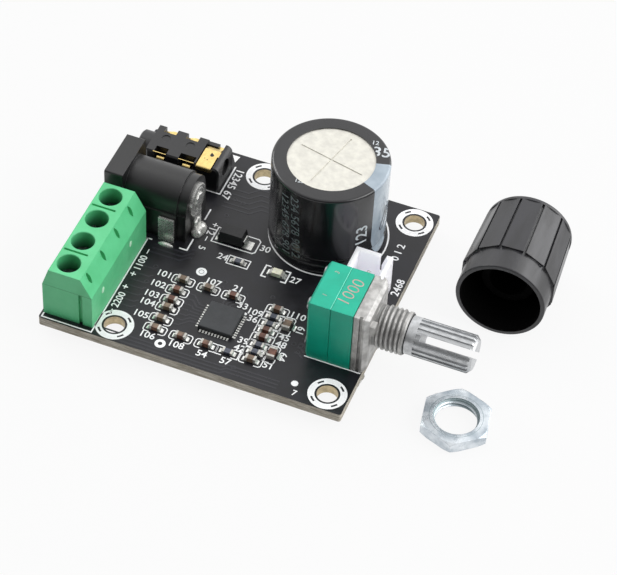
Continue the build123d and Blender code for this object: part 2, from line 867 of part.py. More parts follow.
with BuildPart() as capacitor_can:
    with BuildSketch(upright(can_x, can_y, can_floor)):
        with BuildLine():
            can_side(0)
            Line((can_radius - can_shoulder, can_top), (0, can_top))
            Line((0, can_top), (0, 0))
            Line((0, 0), (can_radius, 0))
        make_face()
    revolve(axis=Axis((can_x, can_y, 0), (0, 0, 1)))
    with BuildSketch(Plane.XY.offset(can_floor + can_top)):
        for turn in vent_turns:
            with Locations(Location((can_x, can_y, 0), (0, 0, turn))):
                Rectangle(vent_length, vent_groove)
    extrude(amount=-vent_groove / 2, mode=Mode.SUBTRACT)
save(capacitor_can, "capacitor_can")

# Shrunk sleeve, which wraps the can from under its base to the rim of its top
with BuildPart() as capacitor_sleeve:
    with BuildSketch(upright(can_x, can_y, can_floor)):
        with BuildLine():
            sleeve_top = can_top + sleeve_thickness
            can_side(0)
            can_side(sleeve_thickness)
            Line((can_radius - can_shoulder, can_top), (sleeve_opening, can_top))
            Line((sleeve_opening, can_top), (sleeve_opening, sleeve_top))
            Line((sleeve_opening, sleeve_top), (can_radius - can_shoulder, sleeve_top))
            Line((can_radius, 0), (sleeve_hem_radius, 0))
            Line((sleeve_hem_radius, 0), (sleeve_hem_radius, -sleeve_thickness))
            Line(
                (sleeve_hem_radius, -sleeve_thickness),
                (can_radius + sleeve_thickness, -sleeve_thickness),
            )
        make_face()
    revolve(axis=Axis((can_x, can_y, 0), (0, 0, 1)))
save(capacitor_sleeve, "capacitor_sleeve")

# Rubber bung that closes the can and stands on the board
with BuildPart() as capacitor_bung:
    with BuildSketch(Plane.XY.offset(top)):
        with Locations((can_x, can_y)):
            Circle(seal_radius)
        with Locations(*[(x, can_y) for x in can_lead_xs]):
            Circle(can_lead_radius, mode=Mode.SUBTRACT)
    extrude(amount=seal_thickness / 2)
save(capacitor_bung, "capacitor_bung")

# Capacitor leads
with BuildPart() as capacitor_leads:
    with BuildSketch(Plane.XY.offset(floor)):
        with Locations(*[(x, can_y) for x in can_lead_xs]):
            Circle(can_lead_radius)
    extrude(amount=can_floor - floor)
save(capacitor_leads, "capacitor_leads")

# Potentiometer wafers, each a moulded cup for one turning disc
for wafer, name in enumerate(["pot_wafer_rear", "pot_wafer_front"]):
    wafer_x = pot_x + wafer * wafer_thickness
    cup_depth = wafer_thickness - track_thickness - wafer_wall
    with BuildPart() as pot_wafer:
        with BuildSketch(crosswise(wafer_x, pot_y, top + pot_height / 2)):
            Rectangle(pot_width, pot_height)
        extrude(amount=wafer_thickness)
        chamfer(pot_wafer.edges().group_by(Axis.X)[0], length=wafer_edges[wafer])
        with BuildSketch(crosswise(wafer_x, pot_y, top + pot_height / 2)):
            with Locations(*pot_rivet_places):
                Circle(pot_rivet_radius)
        extrude(amount=wafer_thickness, mode=Mode.SUBTRACT)
        with BuildSketch(crosswise(wafer_x, pot_y, pot_axis_z)):
            Circle(shaft_core_radius + running_gap)
        extrude(amount=wafer_thickness, mode=Mode.SUBTRACT)
        with BuildSketch(crosswise(wafer_x + wafer_wall, pot_y, pot_axis_z)):
            Circle(rotor_radius + facing_gap)
        extrude(amount=cup_depth, mode=Mode.SUBTRACT)
        with BuildSketch(crosswise(wafer_x + wafer_thickness, pot_y, top + pot_height / 2)):
            Rectangle(pot_width - 2 * track_inset, pot_height - 2 * track_inset)
            with Locations(*[(y - pot_y, -pot_height / 2) for y in pot_pin_ys]):
                Rectangle(pot_pin_width + 2 * seat_gap, 3 * track_inset)
        extrude(amount=-track_thickness, mode=Mode.SUBTRACT)
    save(pot_wafer, name)

# Track boards, each closing its wafer and carrying three terminals
for wafer, name in enumerate(["pot_track_rear", "pot_track_front"]):
    with BuildPart() as pot_track:
        with BuildSketch(crosswise(track_xs[wafer] - track_thickness / 2, pot_y, top + pot_height / 2)):
            Rectangle(pot_width - 2 * track_inset, pot_height - 2 * track_inset)
            with Locations(*pot_rivet_places):
                Circle(pot_rivet_radius, mode=Mode.SUBTRACT)
            with Locations((0, pot_axis_height - pot_height / 2)):
                Circle(shaft_core_radius + facing_gap, mode=Mode.SUBTRACT)
            with Locations(*[(y - pot_y, eyelet_lift) for y in pot_pin_ys]):
                Rectangle(pot_pin_width, 2 * pot_eyelet_height, mode=Mode.SUBTRACT)
        extrude(amount=track_thickness)
    save(pot_track, name)

# Terminals of the potentiometer, three on each track board
with BuildPart() as pot_terminals:
    for x in track_xs:
        for y in pot_pin_ys:
            with Locations((x, y, floor)):
                Box(
                    pot_pin_thickness,
                    pot_pin_width,
                    top + track_inset + 2 * pot_eyelet_height - floor,
                    align=(Align.CENTER, Align.CENTER, Align.MIN),
                )
save(pot_terminals, "pot_terminals")

# Rivets that hold the wafers and track boards on the frame
with BuildPart() as pot_rivets:
    with BuildSketch(crosswise(pot_x, pot_y, top + pot_height / 2)):
        with Locations(*pot_rivet_places):
            Circle(pot_rivet_radius)
    extrude(amount=wafer_count * wafer_thickness)
    with BuildSketch(crosswise(pot_x, pot_y, top + pot_height / 2)):
        with Locations(*pot_rivet_places):
            Circle(pot_rivet_head)
    extrude(amount=-pot_rivet_rise)
    chamfer(pot_rivets.edges().group_by(Axis.X)[0], length=pot_rivet_rise / 2)
save(pot_rivets, "pot_rivets")

# Cast frame with its bushing, thread relief, locating lug, side grooves and board posts
with BuildPart() as pot_frame:
    with BuildSketch(crosswise(frame_x, pot_y, top + pot_height / 2)):
        Rectangle(pot_width, pot_height)
    extrude(amount=frame_thickness)
    chamfer(pot_frame.edges().group_by(Axis.X)[-1], length=frame_edge)
    chamfer(pot_frame.edges().group_by(Axis.X)[0], length=frame_back_edge)
    with BuildSketch(Plane.XY.offset(top)):
        with Locations((post_x, pot_y - pot_width / 2), (post_x, pot_y + pot_width / 2)):
            Rectangle(frame_notch, 2 * frame_notch)
    extrude(amount=pot_height, mode=Mode.SUBTRACT)
    with BuildSketch(crosswise(bushing_x, pot_y, top)):
        with Locations((locating_lug_width / 2 - pot_width / 2 + frame_edge, locating_lug_rise)):
            Rectangle(locating_lug_width, locating_lug_height)
    extrude(amount=locating_lug_reach)
    with BuildSketch(crosswise(bushing_x, pot_y, pot_axis_z)):
        Circle(relief_radius)
    extrude(amount=relief_length)
    with BuildSketch(crosswise(bushing_x + relief_length, pot_y, pot_axis_z)):
        Circle(bushing_radius)
    extrude(amount=bushing_length - relief_length)
    chamfer(pot_frame.edges().group_by(Axis.X)[-1], length=bushing_chamfer)
    with BuildSketch(crosswise(frame_x, pot_y, pot_axis_z)):
        Circle(shaft_radius + running_gap)
    extrude(amount=frame_thickness + bushing_length, mode=Mode.SUBTRACT)
    with BuildSketch(Plane.XY.offset(top)):
        with Locations(*[(post_x, y) for y in post_ys]):
            Rectangle(frame_post, frame_post)
    extrude(amount=floor - top)
save(pot_frame, "pot_frame")

# Shaft, with a core inside the wafers, a plain collar, splines and a split end
with BuildPart() as pot_shaft:
    with BuildSketch(crosswise(pot_x + seat_gap, pot_y, pot_axis_z)):
        Circle(shaft_core_radius)
    extrude(amount=wafer_count * wafer_thickness + facing_gap - seat_gap)
    with BuildSketch(crosswise(frame_x + facing_gap, pot_y, pot_axis_z)):
        Circle(shaft_radius)
    extrude(amount=shaft_end_x - frame_x - facing_gap)
    chamfer(pot_shaft.edges().group_by(Axis.X)[-1], length=shaft_tip_chamfer)
    with BuildSketch(crosswise(shaft_end_x, pot_y, pot_axis_z)):
        with PolarLocations(shaft_radius, spline_count, start_angle=90 + shaft_slot_angle):
            Rectangle(2 * spline_depth, spline_width)
    extrude(amount=shaft_collar - shaft_reach, mode=Mode.SUBTRACT)
    with BuildSketch(crosswise(shaft_end_x, pot_y, pot_axis_z)):
        with Locations(Location((0, 0, 0), (0, 0, shaft_slot_angle))):
            Rectangle(shaft_slot_width, 3 * shaft_radius)
    extrude(amount=-shaft_slot_length, mode=Mode.SUBTRACT)
save(pot_shaft, "pot_shaft")

# Turning discs on the shaft's core, one in each wafer
with BuildPart() as pot_rotors:
    for wafer in range(wafer_count):
        rotor_x = pot_x + wafer * wafer_thickness + wafer_wall + facing_gap
        with BuildSketch(crosswise(rotor_x, pot_y, pot_axis_z)):
            Circle(rotor_radius)
            Circle(shaft_core_radius, mode=Mode.SUBTRACT)
        extrude(amount=rotor_thickness)
save(pot_rotors, "pot_rotors")

# Wipers, each a sprung plate that its disc carries round the track
with BuildPart() as pot_wipers:
    for wafer in range(wafer_count):
        wiper_x = pot_x + wafer * wafer_thickness + wafer_wall + facing_gap + rotor_thickness
        with BuildSketch(crosswise(wiper_x, pot_y, pot_axis_z)):
            with Locations(Location((0, 0, 0), (0, 0, shaft_slot_angle))):
                with Locations((0, (wiper_reach + shaft_core_radius) / 2)):
                    Rectangle(wiper_width, wiper_reach - shaft_core_radius)
        extrude(amount=wiper_thickness)
save(pot_wipers, "pot_wipers")

# Header shroud, an open box with a flared slot in its back wall
with BuildPart() as header_shroud:
    with BuildSketch(Plane.XY.offset(top)):
        with Locations((header_x, header_y)):
            Rectangle(header_width, header_length)
    extrude(amount=header_height)
    with BuildSketch(Plane.XY.offset(top + header_height)):
        with Locations((header_x, header_y)):
            Rectangle(header_width - 2 * header_wall, header_length - 2 * header_wall)
    extrude(amount=header_floor - header_height, mode=Mode.SUBTRACT)
    slot_x = header_x - header_width / 2 + header_slot_inset
    slot_drop = header_height - header_slot_floor
    with BuildSketch(upright(slot_x, header_y + header_length / 2, top + header_slot_floor)):
        with BuildLine():
            Polyline(
                (0, 0),
                (header_slot_width, 0),
                (header_slot_width, slot_drop - header_slot_flare_depth),
                (header_slot_width + header_slot_flare, slot_drop),
                (0, slot_drop),
                close=True,
            )
        make_face()
    extrude(amount=header_wall, both=True, mode=Mode.SUBTRACT)
    with BuildSketch(Plane.XY.offset(top)):
        with Locations(*[(header_x, y) for y in header_pin_ys]):
            Rectangle(header_pin, header_pin)
    extrude(amount=header_floor, mode=Mode.SUBTRACT)
save(header_shroud, "header_shroud")

# Header pins, square with pointed tips
with BuildPart() as header_pins:
    with BuildSketch(Plane.XY.offset(floor)):
        with Locations(*[(header_x, y) for y in header_pin_ys]):
            Rectangle(header_pin, header_pin)
    extrude(amount=top + header_pin_height - floor)
    chamfer(header_pins.edges().group_by(Axis.Z)[-1], length=header_pin / 4)
save(header_pins, "header_pins")

# Amplifier chip
chip_x = left + chip_u
chip_y = front + chip_v
with BuildPart() as amplifier_chip:
    with BuildSketch(Plane.XY.offset(top + pad_height)):
        with Locations((chip_x, chip_y)):
            Rectangle(chip_size, chip_size)
    extrude(amount=chip_height)
    chamfer(amplifier_chip.edges().group_by(Axis.Z)[-1], length=chip_chamfer)
save(amplifier_chip, "amplifier_chip")

# Lands under the chip's four edges, each turned up against its side
land_steps = [chip_pad_pitch * (step - (chip_pads_a_side - 1) / 2) for step in range(chip_pads_a_side)]
land_reach = chip_size / 2 + chip_pad_reach - chip_pad_length / 2
with BuildPart() as chip_lands:
    with BuildSketch(Plane.XY.offset(top)):
        for side in (-1, 1):
            with Locations(*[(chip_x + side * land_reach, chip_y + step) for step in land_steps]):
                Rectangle(chip_pad_length, chip_pad_width)
            with Locations(*[(chip_x + step, chip_y + side * land_reach) for step in land_steps]):
                Rectangle(chip_pad_width, chip_pad_length)
    extrude(amount=pad_height)
    side_reach = (chip_size + chip_pad_skin) / 2
    with BuildSketch(Plane.XY.offset(top)):
        for side in (-1, 1):
            with Locations(*[(chip_x + side * side_reach, chip_y + step) for step in land_steps]):
                Rectangle(chip_pad_skin, chip_pad_width)
            with Locations(*[(chip_x + step, chip_y + side * side_reach) for step in land_steps]):
                Rectangle(chip_pad_width, chip_pad_skin)
    extrude(amount=chip_pad_rise)
save(chip_lands, "chip_lands")

# Places of the chip capacitors and resistors, with the larger turned ones apart
capacitor_chips = [(left_column_u, v, 0) for v in left_column_vs]
capacitor_chips += [(u, v, 0) for u in inner_column_us for v in inner_row_vs]
capacitor_chips += [(right_column_u, v, 0) for v in right_capacitor_vs]
turned_chips = [(turned_column_u, v, 90) for v in turned_capacitor_vs]
resistor_chips = [(right_column_u, v, 0) for v in right_resistor_vs]
resistor_chips += [(lone_resistor_u, inner_row_vs[0], 0), (middle_resistor_u, middle_row_v, 0)]


def chip_bodies(places, size, height):
    """The ceramic bodies of a row of chips, between their metal ends."""
    length, width = size
    with BuildPart() as bodies:
        for u, v, turn in places:
            with Locations(Location((left + u, front + v, top + end_cap_wall), (0, 0, turn))):
                Box(
                    length - 2 * end_cap_length,
                    width,
                    height,
                    align=(Align.CENTER, Align.CENTER, Align.MIN),
                )
    return bodies


def end_caps(places, size, height):
    """The metal ends of a row of chips."""
    length, width = size
    shift = (length - end_cap_length) / 2
    with BuildPart() as caps:
        for u, v, turn in places:
            with Locations(Location((left + u, front + v, top), (0, 0, turn))):
                with Locations((-shift, 0, 0), (shift, 0, 0)):
                    Box(
                        end_cap_length,
                        width + 2 * end_cap_wall,
                        height + 2 * end_cap_wall,
                        align=(Align.CENTER, Align.CENTER, Align.MIN),
                    )
    return caps


with BuildPart() as chip_capacitors:
    add(chip_bodies(capacitor_chips, small_chip, capacitor_chip_height).part)
    add(chip_bodies(turned_chips, large_chip, capacitor_chip_height).part)
save(chip_capacitors, "chip_capacitors")
chip_resistors = chip_bodies(resistor_chips, small_chip, resistor_chip_height)
save(chip_resistors, "chip_resistors")
with BuildPart() as chip_ends:
    add(end_caps(capacitor_chips, small_chip, capacitor_chip_height).part)
    add(end_caps(turned_chips, large_chip, capacitor_chip_height).part)
    add(end_caps(resistor_chips, small_chip, resistor_chip_height).part)
    add(end_caps([(led_u, middle_row_v, 0)], lamp_chip, resistor_chip_height).part)
save(chip_ends, "chip_ends")

# Indicator lamp, a base between its ends with a clear block on it
with BuildPart() as indicator_lamp:
    with BuildSketch(Plane.XY.offset(top + end_cap_wall)):
        with Locations((left + led_u, front + middle_row_v)):
            Rectangle(lamp_chip[0] - 2 * end_cap_length, lamp_chip[1])
    extrude(amount=led_lens_height)
save(indicator_lamp, "indicator_lamp")

# Diode, a drafted block between two folded leads
diode_x = left + diode_u
diode_y = front + diode_v
diode_floor = 1.5 * diode_lead_thickness
with BuildPart() as diode:
    with BuildSketch(Plane.XY.offset(top + diode_floor)):
        with Locations((diode_x, diode_y)):
            Rectangle(diode_length, diode_width)
    extrude(amount=diode_height - diode_floor, taper=diode_draft)
save(diode, "diode")
lead_out = diode_length / 2 + diode_lead_thickness
diode_lead_strips = [
    bent_strip(
        upright(diode_x, diode_y, top),
        [
            (side * (diode_length / 2 - diode_lead_foot), diode_lead_thickness / 2),
            (side * lead_out, diode_lead_thickness / 2),
            (side * lead_out, diode_lead_rise),
            (side * (diode_length / 2 - diode_lead_thickness), diode_lead_rise),
        ],
        diode_lead_thickness,
        diode_lead_width,
        diode_lead_thickness,
    )
    for side in (-1, 1)
]
with BuildPart() as diode_leads:
    add(diode_lead_strips)
    add(diode.part, mode=Mode.SUBTRACT)
save(diode_leads, "diode_leads")

# Knob, lying on one of its flat panels with its mouth towards the front
flat = cos(pi / knob_panels)
panel_length = knob_length - knob_collar_length - knob_rim_length
knob_tilt = atan((knob_body_radius - knob_end_radius) * flat / panel_length)
collar_radius = knob_body_radius * flat - knob_panel_rise
core_end_radius = knob_end_radius * flat - knob_panel_rise
mouth_radius = collar_radius - knob_wall
knob_yaw_angle = radians(knob_yaw)
knob_plane = Plane(
    origin=(
        left + knob_u,
        front + knob_v,
        floor + knob_body_radius * flat * cos(knob_tilt) + knob_collar_length * sin(knob_tilt),
    ),
    x_dir=(cos(knob_yaw_angle), sin(knob_yaw_angle), 0),
    z_dir=(
        -sin(knob_yaw_angle) * cos(knob_tilt),
        cos(knob_yaw_angle) * cos(knob_tilt),
        -sin(knob_tilt),
    ),
)
half_panel = 180 / knob_panels
with BuildPart() as volume_knob:
    with BuildSketch(knob_plane.offset(knob_collar_length)):
        RegularPolygon(knob_body_radius, knob_panels, rotation=half_panel)
    with BuildSketch(knob_plane.offset(knob_length - knob_rim_length)):
        RegularPolygon(knob_end_radius, knob_panels, rotation=half_panel)
    loft()
    with BuildSketch(knob_plane.offset(knob_collar_length)):
        with PolarLocations(knob_body_radius, knob_panels, start_angle=half_panel):
            Rectangle(knob_body_radius / 2, knob_groove_width)
    extrude(amount=panel_length, mode=Mode.SUBTRACT)
    with BuildSketch(knob_plane):
        Circle(collar_radius)
    extrude(amount=knob_collar_length)
    with BuildSketch(knob_plane.offset(knob_collar_length)):
        Circle(collar_radius)
    with BuildSketch(knob_plane.offset(knob_length - knob_rim_length)):
        Circle(core_end_radius)
    loft()
    with BuildSketch(knob_plane.offset(knob_length - knob_rim_length)):
        Circle(knob_end_radius - knob_rim_inset)
    extrude(amount=knob_rim_length)
    knob_circles = volume_knob.edges().filter_by(GeomType.CIRCLE).sort_by(Axis.Y)
    fillet(knob_circles[-1], radius=knob_rim_round)
    fillet(knob_circles[0], radius=knob_mouth_round)
    with BuildSketch(knob_plane):
        Circle(mouth_radius)
    extrude(amount=knob_hub_recess, mode=Mode.SUBTRACT)
    with BuildSketch(knob_plane.offset(knob_hub_recess)):
        Circle(mouth_radius)
        Circle(knob_hub_radius, mode=Mode.SUBTRACT)
        Circle(shaft_radius + knob_bore_gap)
    extrude(amount=knob_length - knob_roof - knob_hub_recess, mode=Mode.SUBTRACT)
save(volume_knob, "volume_knob")

# Panel nut, six sided, rounded off at its corners and threaded for the bushing
with BuildPart() as panel_nut:
    nut_plane = Plane.XY.offset(floor)
    nut_place = (left + nut_u, front + nut_v)
    with BuildSketch(nut_plane):
        with Locations(nut_place):
            RegularPolygon(nut_across_flats / 2, nut_sides, major_radius=False, rotation=nut_turn)
            Circle(nut_bore_radius, mode=Mode.SUBTRACT)
    extrude(amount=nut_thickness)
    corner_radius = nut_across_flats / 2 / cos(pi / nut_sides)
    corner_rise = nut_chamfer * tan(radians(nut_chamfer_angle))
    with BuildSketch(upright(*nut_place, floor)):
        with BuildLine():
            Polyline(
                (0, 0),
                (corner_radius - nut_chamfer, 0),
                (corner_radius, corner_rise),
                (corner_radius, nut_thickness - corner_rise),
                (corner_radius - nut_chamfer, nut_thickness),
                (0, nut_thickness),
                close=True,
            )
        make_face()
    revolve(axis=Axis((*nut_place, 0), (0, 0, 1)), mode=Mode.INTERSECT)
    bore_rims = panel_nut.edges().filter_by(GeomType.CIRCLE).group_by(SortBy.RADIUS)[0]
    chamfer(bore_rims, length=nut_bore_chamfer)
save(panel_nut, "panel_nut")
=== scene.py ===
import math

import bmesh
import bpy
from mathutils import Matrix, Vector, noise
from mathutils.bvhtree import BVHTree


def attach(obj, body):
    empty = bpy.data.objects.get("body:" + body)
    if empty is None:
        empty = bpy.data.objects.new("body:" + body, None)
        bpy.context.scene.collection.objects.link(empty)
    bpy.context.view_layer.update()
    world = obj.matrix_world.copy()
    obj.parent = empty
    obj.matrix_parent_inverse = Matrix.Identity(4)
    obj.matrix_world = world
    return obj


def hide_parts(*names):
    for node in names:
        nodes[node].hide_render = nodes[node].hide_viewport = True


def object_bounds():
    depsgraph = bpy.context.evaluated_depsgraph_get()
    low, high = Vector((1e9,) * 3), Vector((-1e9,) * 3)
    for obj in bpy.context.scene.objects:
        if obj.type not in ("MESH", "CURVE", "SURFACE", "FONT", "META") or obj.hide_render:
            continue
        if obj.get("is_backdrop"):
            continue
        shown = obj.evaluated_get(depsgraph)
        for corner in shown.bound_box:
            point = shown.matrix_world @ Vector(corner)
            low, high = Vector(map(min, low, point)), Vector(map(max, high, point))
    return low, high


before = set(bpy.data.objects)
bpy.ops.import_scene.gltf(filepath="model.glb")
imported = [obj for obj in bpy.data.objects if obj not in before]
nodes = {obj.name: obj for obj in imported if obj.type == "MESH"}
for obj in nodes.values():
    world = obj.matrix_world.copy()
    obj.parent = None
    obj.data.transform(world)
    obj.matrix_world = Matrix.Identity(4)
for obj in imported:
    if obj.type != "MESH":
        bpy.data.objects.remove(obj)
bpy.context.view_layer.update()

MM = 0.001
# Centre of the board's top face in the row frame, in millimetres
BOARD_X, BOARD_Y, BOARD_TOP = 13.40, 19.35, 1.6
FLOOR_Z = -1.8


def at(x, y, z=0.0):
    """A point given from the centre of the board's top face, in millimetres."""
    return Vector(((x + BOARD_X) * MM, (y + BOARD_Y) * MM, (z + BOARD_TOP) * MM))


def linear(*srgb):
    """A colour given as 0 to 255, in the renderer's linear numbers."""
    values = [c / 255 for c in srgb]
    return tuple(c / 12.92 if c <= 0.04045 else ((c + 0.055) / 1.055) ** 2.4 for c in values) + (1.0,)


def tinged(colour, share):
    """A colour in linear numbers, darker or lighter by this share."""
    return tuple(min(1.0, c * share) for c in colour[:3]) + (1.0,)


# Materials
class Paint:
    """A principled shader with its noise, mixes and bump."""

    def __init__(self, name):
        self.material = bpy.data.materials.new(name)
        self.material.use_nodes = True
        self.tree = self.material.node_tree
        self.tree.nodes.clear()
        self.out = self.node("OutputMaterial")
        self.shader = self.node("BsdfPrincipled")
        self.tree.links.new(self.shader.outputs[0], self.out.inputs[0])
        self.place = self.node("TexCoord").outputs["Object"]

    def node(self, kind, inputs=None, **settings):
        made = self.tree.nodes.new("ShaderNode" + kind)
        for key, value in settings.items():
            setattr(made, key, value)
        for key, value in (inputs or {}).items():
            self.feed(made.inputs[key], value)
        return made

    def feed(self, socket, value):
        if isinstance(value, bpy.types.NodeSocket):
            self.tree.links.new(value, socket)
        else:
            socket.default_value = value

    def set(self, **values):
        for key, value in values.items():
            self.feed(self.shader.inputs[key.replace("_", " ")], value)
        return self

    def math(self, operation, a, b=0.0, c=0.0):
        made = self.node("Math", operation=operation)
        for socket, value in zip(made.inputs, (a, b, c)):
            self.feed(socket, value)
        return made.outputs[0]

    def span(self, value, low, high, to_low=0.0, to_high=1.0):
        inputs = {"Value": value, "From Min": low, "From Max": high, "To Min": to_low, "To Max": to_high}
        return self.node("MapRange", inputs, interpolation_type="SMOOTHSTEP").outputs[0]

    def patches(self, per_mm, detail=2.0, to_low=0.0, to_high=1.0, edges=(0.3, 0.7), **place):
        """Soft patches that shift from one value to the other."""
        return self.span(self.noise(per_mm, detail, **place), *edges, to_low, to_high)

    def noise(self, per_mm, detail=2.0, stretch=None, offset=(0, 0, 0)):
        place = self.place
        if stretch or any(offset):
            place = self.node(
                "Mapping", {"Vector": place, "Scale": stretch or (1, 1, 1), "Location": offset}
            ).outputs[0]
        return self.node(
            "TexNoise", {"Vector": place, "Scale": per_mm / MM, "Detail": detail, "Roughness": 0.55}
        ).outputs["Fac"]

    def mix(self, share, a, b):
        made = self.node("Mix", data_type="RGBA")
        self.feed(made.inputs[0], share)
        self.feed(made.inputs[6], a)
        self.feed(made.inputs[7], b)
        return made.outputs[2]

    def axes(self):
        return self.node("SeparateXYZ", {"Vector": self.place}).outputs

    def off_axis(self, axis, centre):
        """The distance from a line along the axis, whose place is in millimetres."""
        gaps = [self.math("SUBTRACT", self.axes()[i], centre[i] * MM) for i in range(3) if i != axis]
        squares = [self.math("MULTIPLY", gap, gap) for gap in gaps]
        return self.math("SQRT", self.math("ADD", *squares))

    def crests(self, axis, centre, root, crest):
        """One on the crests of splines or of a thread, and nothing down to their roots."""
        radius = self.off_axis(axis, centre)
        return self.span(radius, (root + 0.02) * MM, (crest - 0.08) * MM)

    def bump(self, height, depth_mm):
        made = self.node("Bump", {"Height": height, "Distance": depth_mm * MM, "Strength": 1.0})
        if self.shader.inputs["Normal"].is_linked:
            self.feed(made.inputs["Normal"], self.shader.inputs["Normal"].links[0].from_socket)
        self.set(Normal=made.outputs[0])
        return self

    def round_edges(self, radius_mm):
        made = self.node("Bevel", {"Radius": radius_mm * MM}, samples=4)
        self.set(Normal=made.outputs[0])
        return self


WIDE_EDGES = (0.25, 0.75)


def finish(
    name, colour, rough, metal=0.0, vary=0.12, patch=0.5, rough_vary=0.1, grain=None, edge=None, **more
):
    """A surface with soft patches of tone and gloss, a fine grain and slightly rounded edges."""
    paint = Paint(name)
    dark, light = tinged(colour, 1 - vary), tinged(colour, 1 + vary)
    paint.set(Base_Color=paint.mix(paint.patches(patch, 3.0), dark, light), Metallic=metal)
    smooth, dull = rough * (1 - rough_vary), rough * (1 + rough_vary)
    paint.set(Roughness=paint.patches(patch * 5, 2.0, smooth, dull, WIDE_EDGES, offset=(3, 1, 2)))
    if edge:
        paint.round_edges(edge)
    if grain:
        per_mm, depth = grain
        paint.bump(paint.noise(per_mm), depth)
    paint.set(**more)
    return paint


def dress(paint, *names):
    for name in names:
        mesh = nodes[name].data
        mesh.materials.clear()
        mesh.materials.append(paint.material)


GLOSS = {"Specular_IOR_Level": 0.65, "Coat_Weight": 0.12, "Coat_Roughness": 0.3}
jack_black = finish(
    "moulded_black", linear(10, 10, 12), 0.36, vary=0.2, patch=0.4, grain=(8, 0.014), edge=0.12, **GLOSS
)
socket_black = finish(
    "socket_black", linear(17, 17, 20), 0.4, vary=0.2, patch=0.6, grain=(9, 0.012), edge=0.08, **GLOSS
)
gold = finish(
    "plated_gold", linear(244, 216, 142), 0.26, 1.0, vary=0.1, patch=1.2, grain=(3, 0.02), edge=0.05
)
tin = finish(
    "tinned_metal", linear(216, 216, 213), 0.26, 0.75,
    vary=0.1, patch=1.5, rough_vary=0.25, grain=(4, 0.02), edge=0.05,
)
chip_tin = finish(
    "chip_tin", linear(196, 194, 188), 0.38, 0.6,
    vary=0.2, patch=1.8, rough_vary=0.25, grain=(5, 0.02), edge=0.04,
)
steel = finish(
    "plated_steel", linear(176, 178, 182), 0.32, 1.0, vary=0.08, patch=0.8, grain=(6, 0.01), edge=0.06
)
screw_steel = finish(
    "screw_steel", linear(112, 116, 118), 0.34, 1.0, vary=0.4, patch=2.0, grain=(4, 0.04), edge=0.06
)
teal = finish(
    "moulded_teal", linear(4, 170, 140), 0.34, vary=0.06, patch=0.4, grain=(9, 0.008), edge=0.12
)
white = finish(
    "moulded_white_painted_glow", linear(248, 246, 252), 0.38, vary=0.03, patch=0.4, grain=(9, 0.006), edge=0.12
)
# A faint lavender glow: painted light that brightens the shaded inside of the header's shroud.
white.set(Emission_Color=linear(236, 232, 255), Emission_Strength=0.10)
white.set(Subsurface_Weight=1.0, Subsurface_Radius=(1.0, 1.0, 1.0), Subsurface_Scale=2.5 * MM)
rubber = finish("rubber", linear(28, 28, 29), 0.75, vary=0.15, patch=0.8, grain=(6, 0.02))
brown_board = finish("track_board", linear(142, 98, 58), 0.6, vary=0.15, patch=0.9, grain=(7, 0.02))
resistor_black = finish(
    "resistor_black", linear(78, 82, 94), 0.22, vary=0.25, patch=1.4, grain=(9, 0.01), edge=0.04
)
chip_grey = finish(
    "chip_grey", linear(52, 54, 57), 0.55, vary=0.1, patch=0.7, grain=(11, 0.015), edge=0.06
)
diode_black = finish(
    "diode_black", linear(24, 24, 26), 0.5, vary=0.15, patch=0.9, grain=(9, 0.015), edge=0.08
)
TERMINAL_WAYS = range(1, 5)

dress(jack_black, "power_jack_housing")
dress(socket_black, "audio_jack_housing")
dress(gold, "audio_jack_contacts", "audio_tip_contact", "pot_wipers")
dress(
    tin, "power_jack_strap", "power_jack_pin", "power_jack_spring", "power_jack_side_lug", "header_pins",
    "terminal_contacts", "capacitor_leads", "diode_leads", "pot_terminals", "solder_joints",
)
dress(chip_tin, "chip_ends")
dress(steel, "pot_rivets", *[f"terminal_cage_{n}" for n in TERMINAL_WAYS])
dress(screw_steel, *[f"terminal_screw_{n}" for n in TERMINAL_WAYS])
dress(teal, "pot_wafer_front", "pot_wafer_rear")
dress(white, "header_shroud")
dress(rubber, "capacitor_bung", "pot_rotors")
dress(brown_board, "pot_track_front", "pot_track_rear")
dress(resistor_black, "chip_resistors")
dress(chip_grey, "amplifier_chip")
dress(diode_black, "diode")


def ceramic_paint():
    """Fired ceramic, whose brown shifts from one small capacitor to the next."""
    paint = Paint("fired_ceramic")
    grain = paint.patches(1.1, 3.0)
    brown = paint.mix(grain, linear(84, 52, 42), linear(124, 84, 68))
    pale = paint.mix(grain, linear(96, 82, 70), linear(136, 116, 98))
    batch = paint.patches(0.16, 0.0, edges=(0.5, 0.62), offset=(5, 2, 0))
    paint.set(Base_Color=paint.mix(batch, brown, pale))
    paint.set(Roughness=paint.patches(2.5, 2.0, 0.32, 0.5))
    paint.round_edges(0.06)
    return paint.bump(paint.noise(7), 0.02)


# The middle of the knob's mouth, the way to its far end, and the radius and depth of its hollow
KNOB_MOUTH = (53.49, 24.54, 5.71)
KNOB_AXIS = (-0.0384, 0.9984, -0.0409)
KNOB_HOLLOW, KNOB_DEPTH = 6.42, 15.6


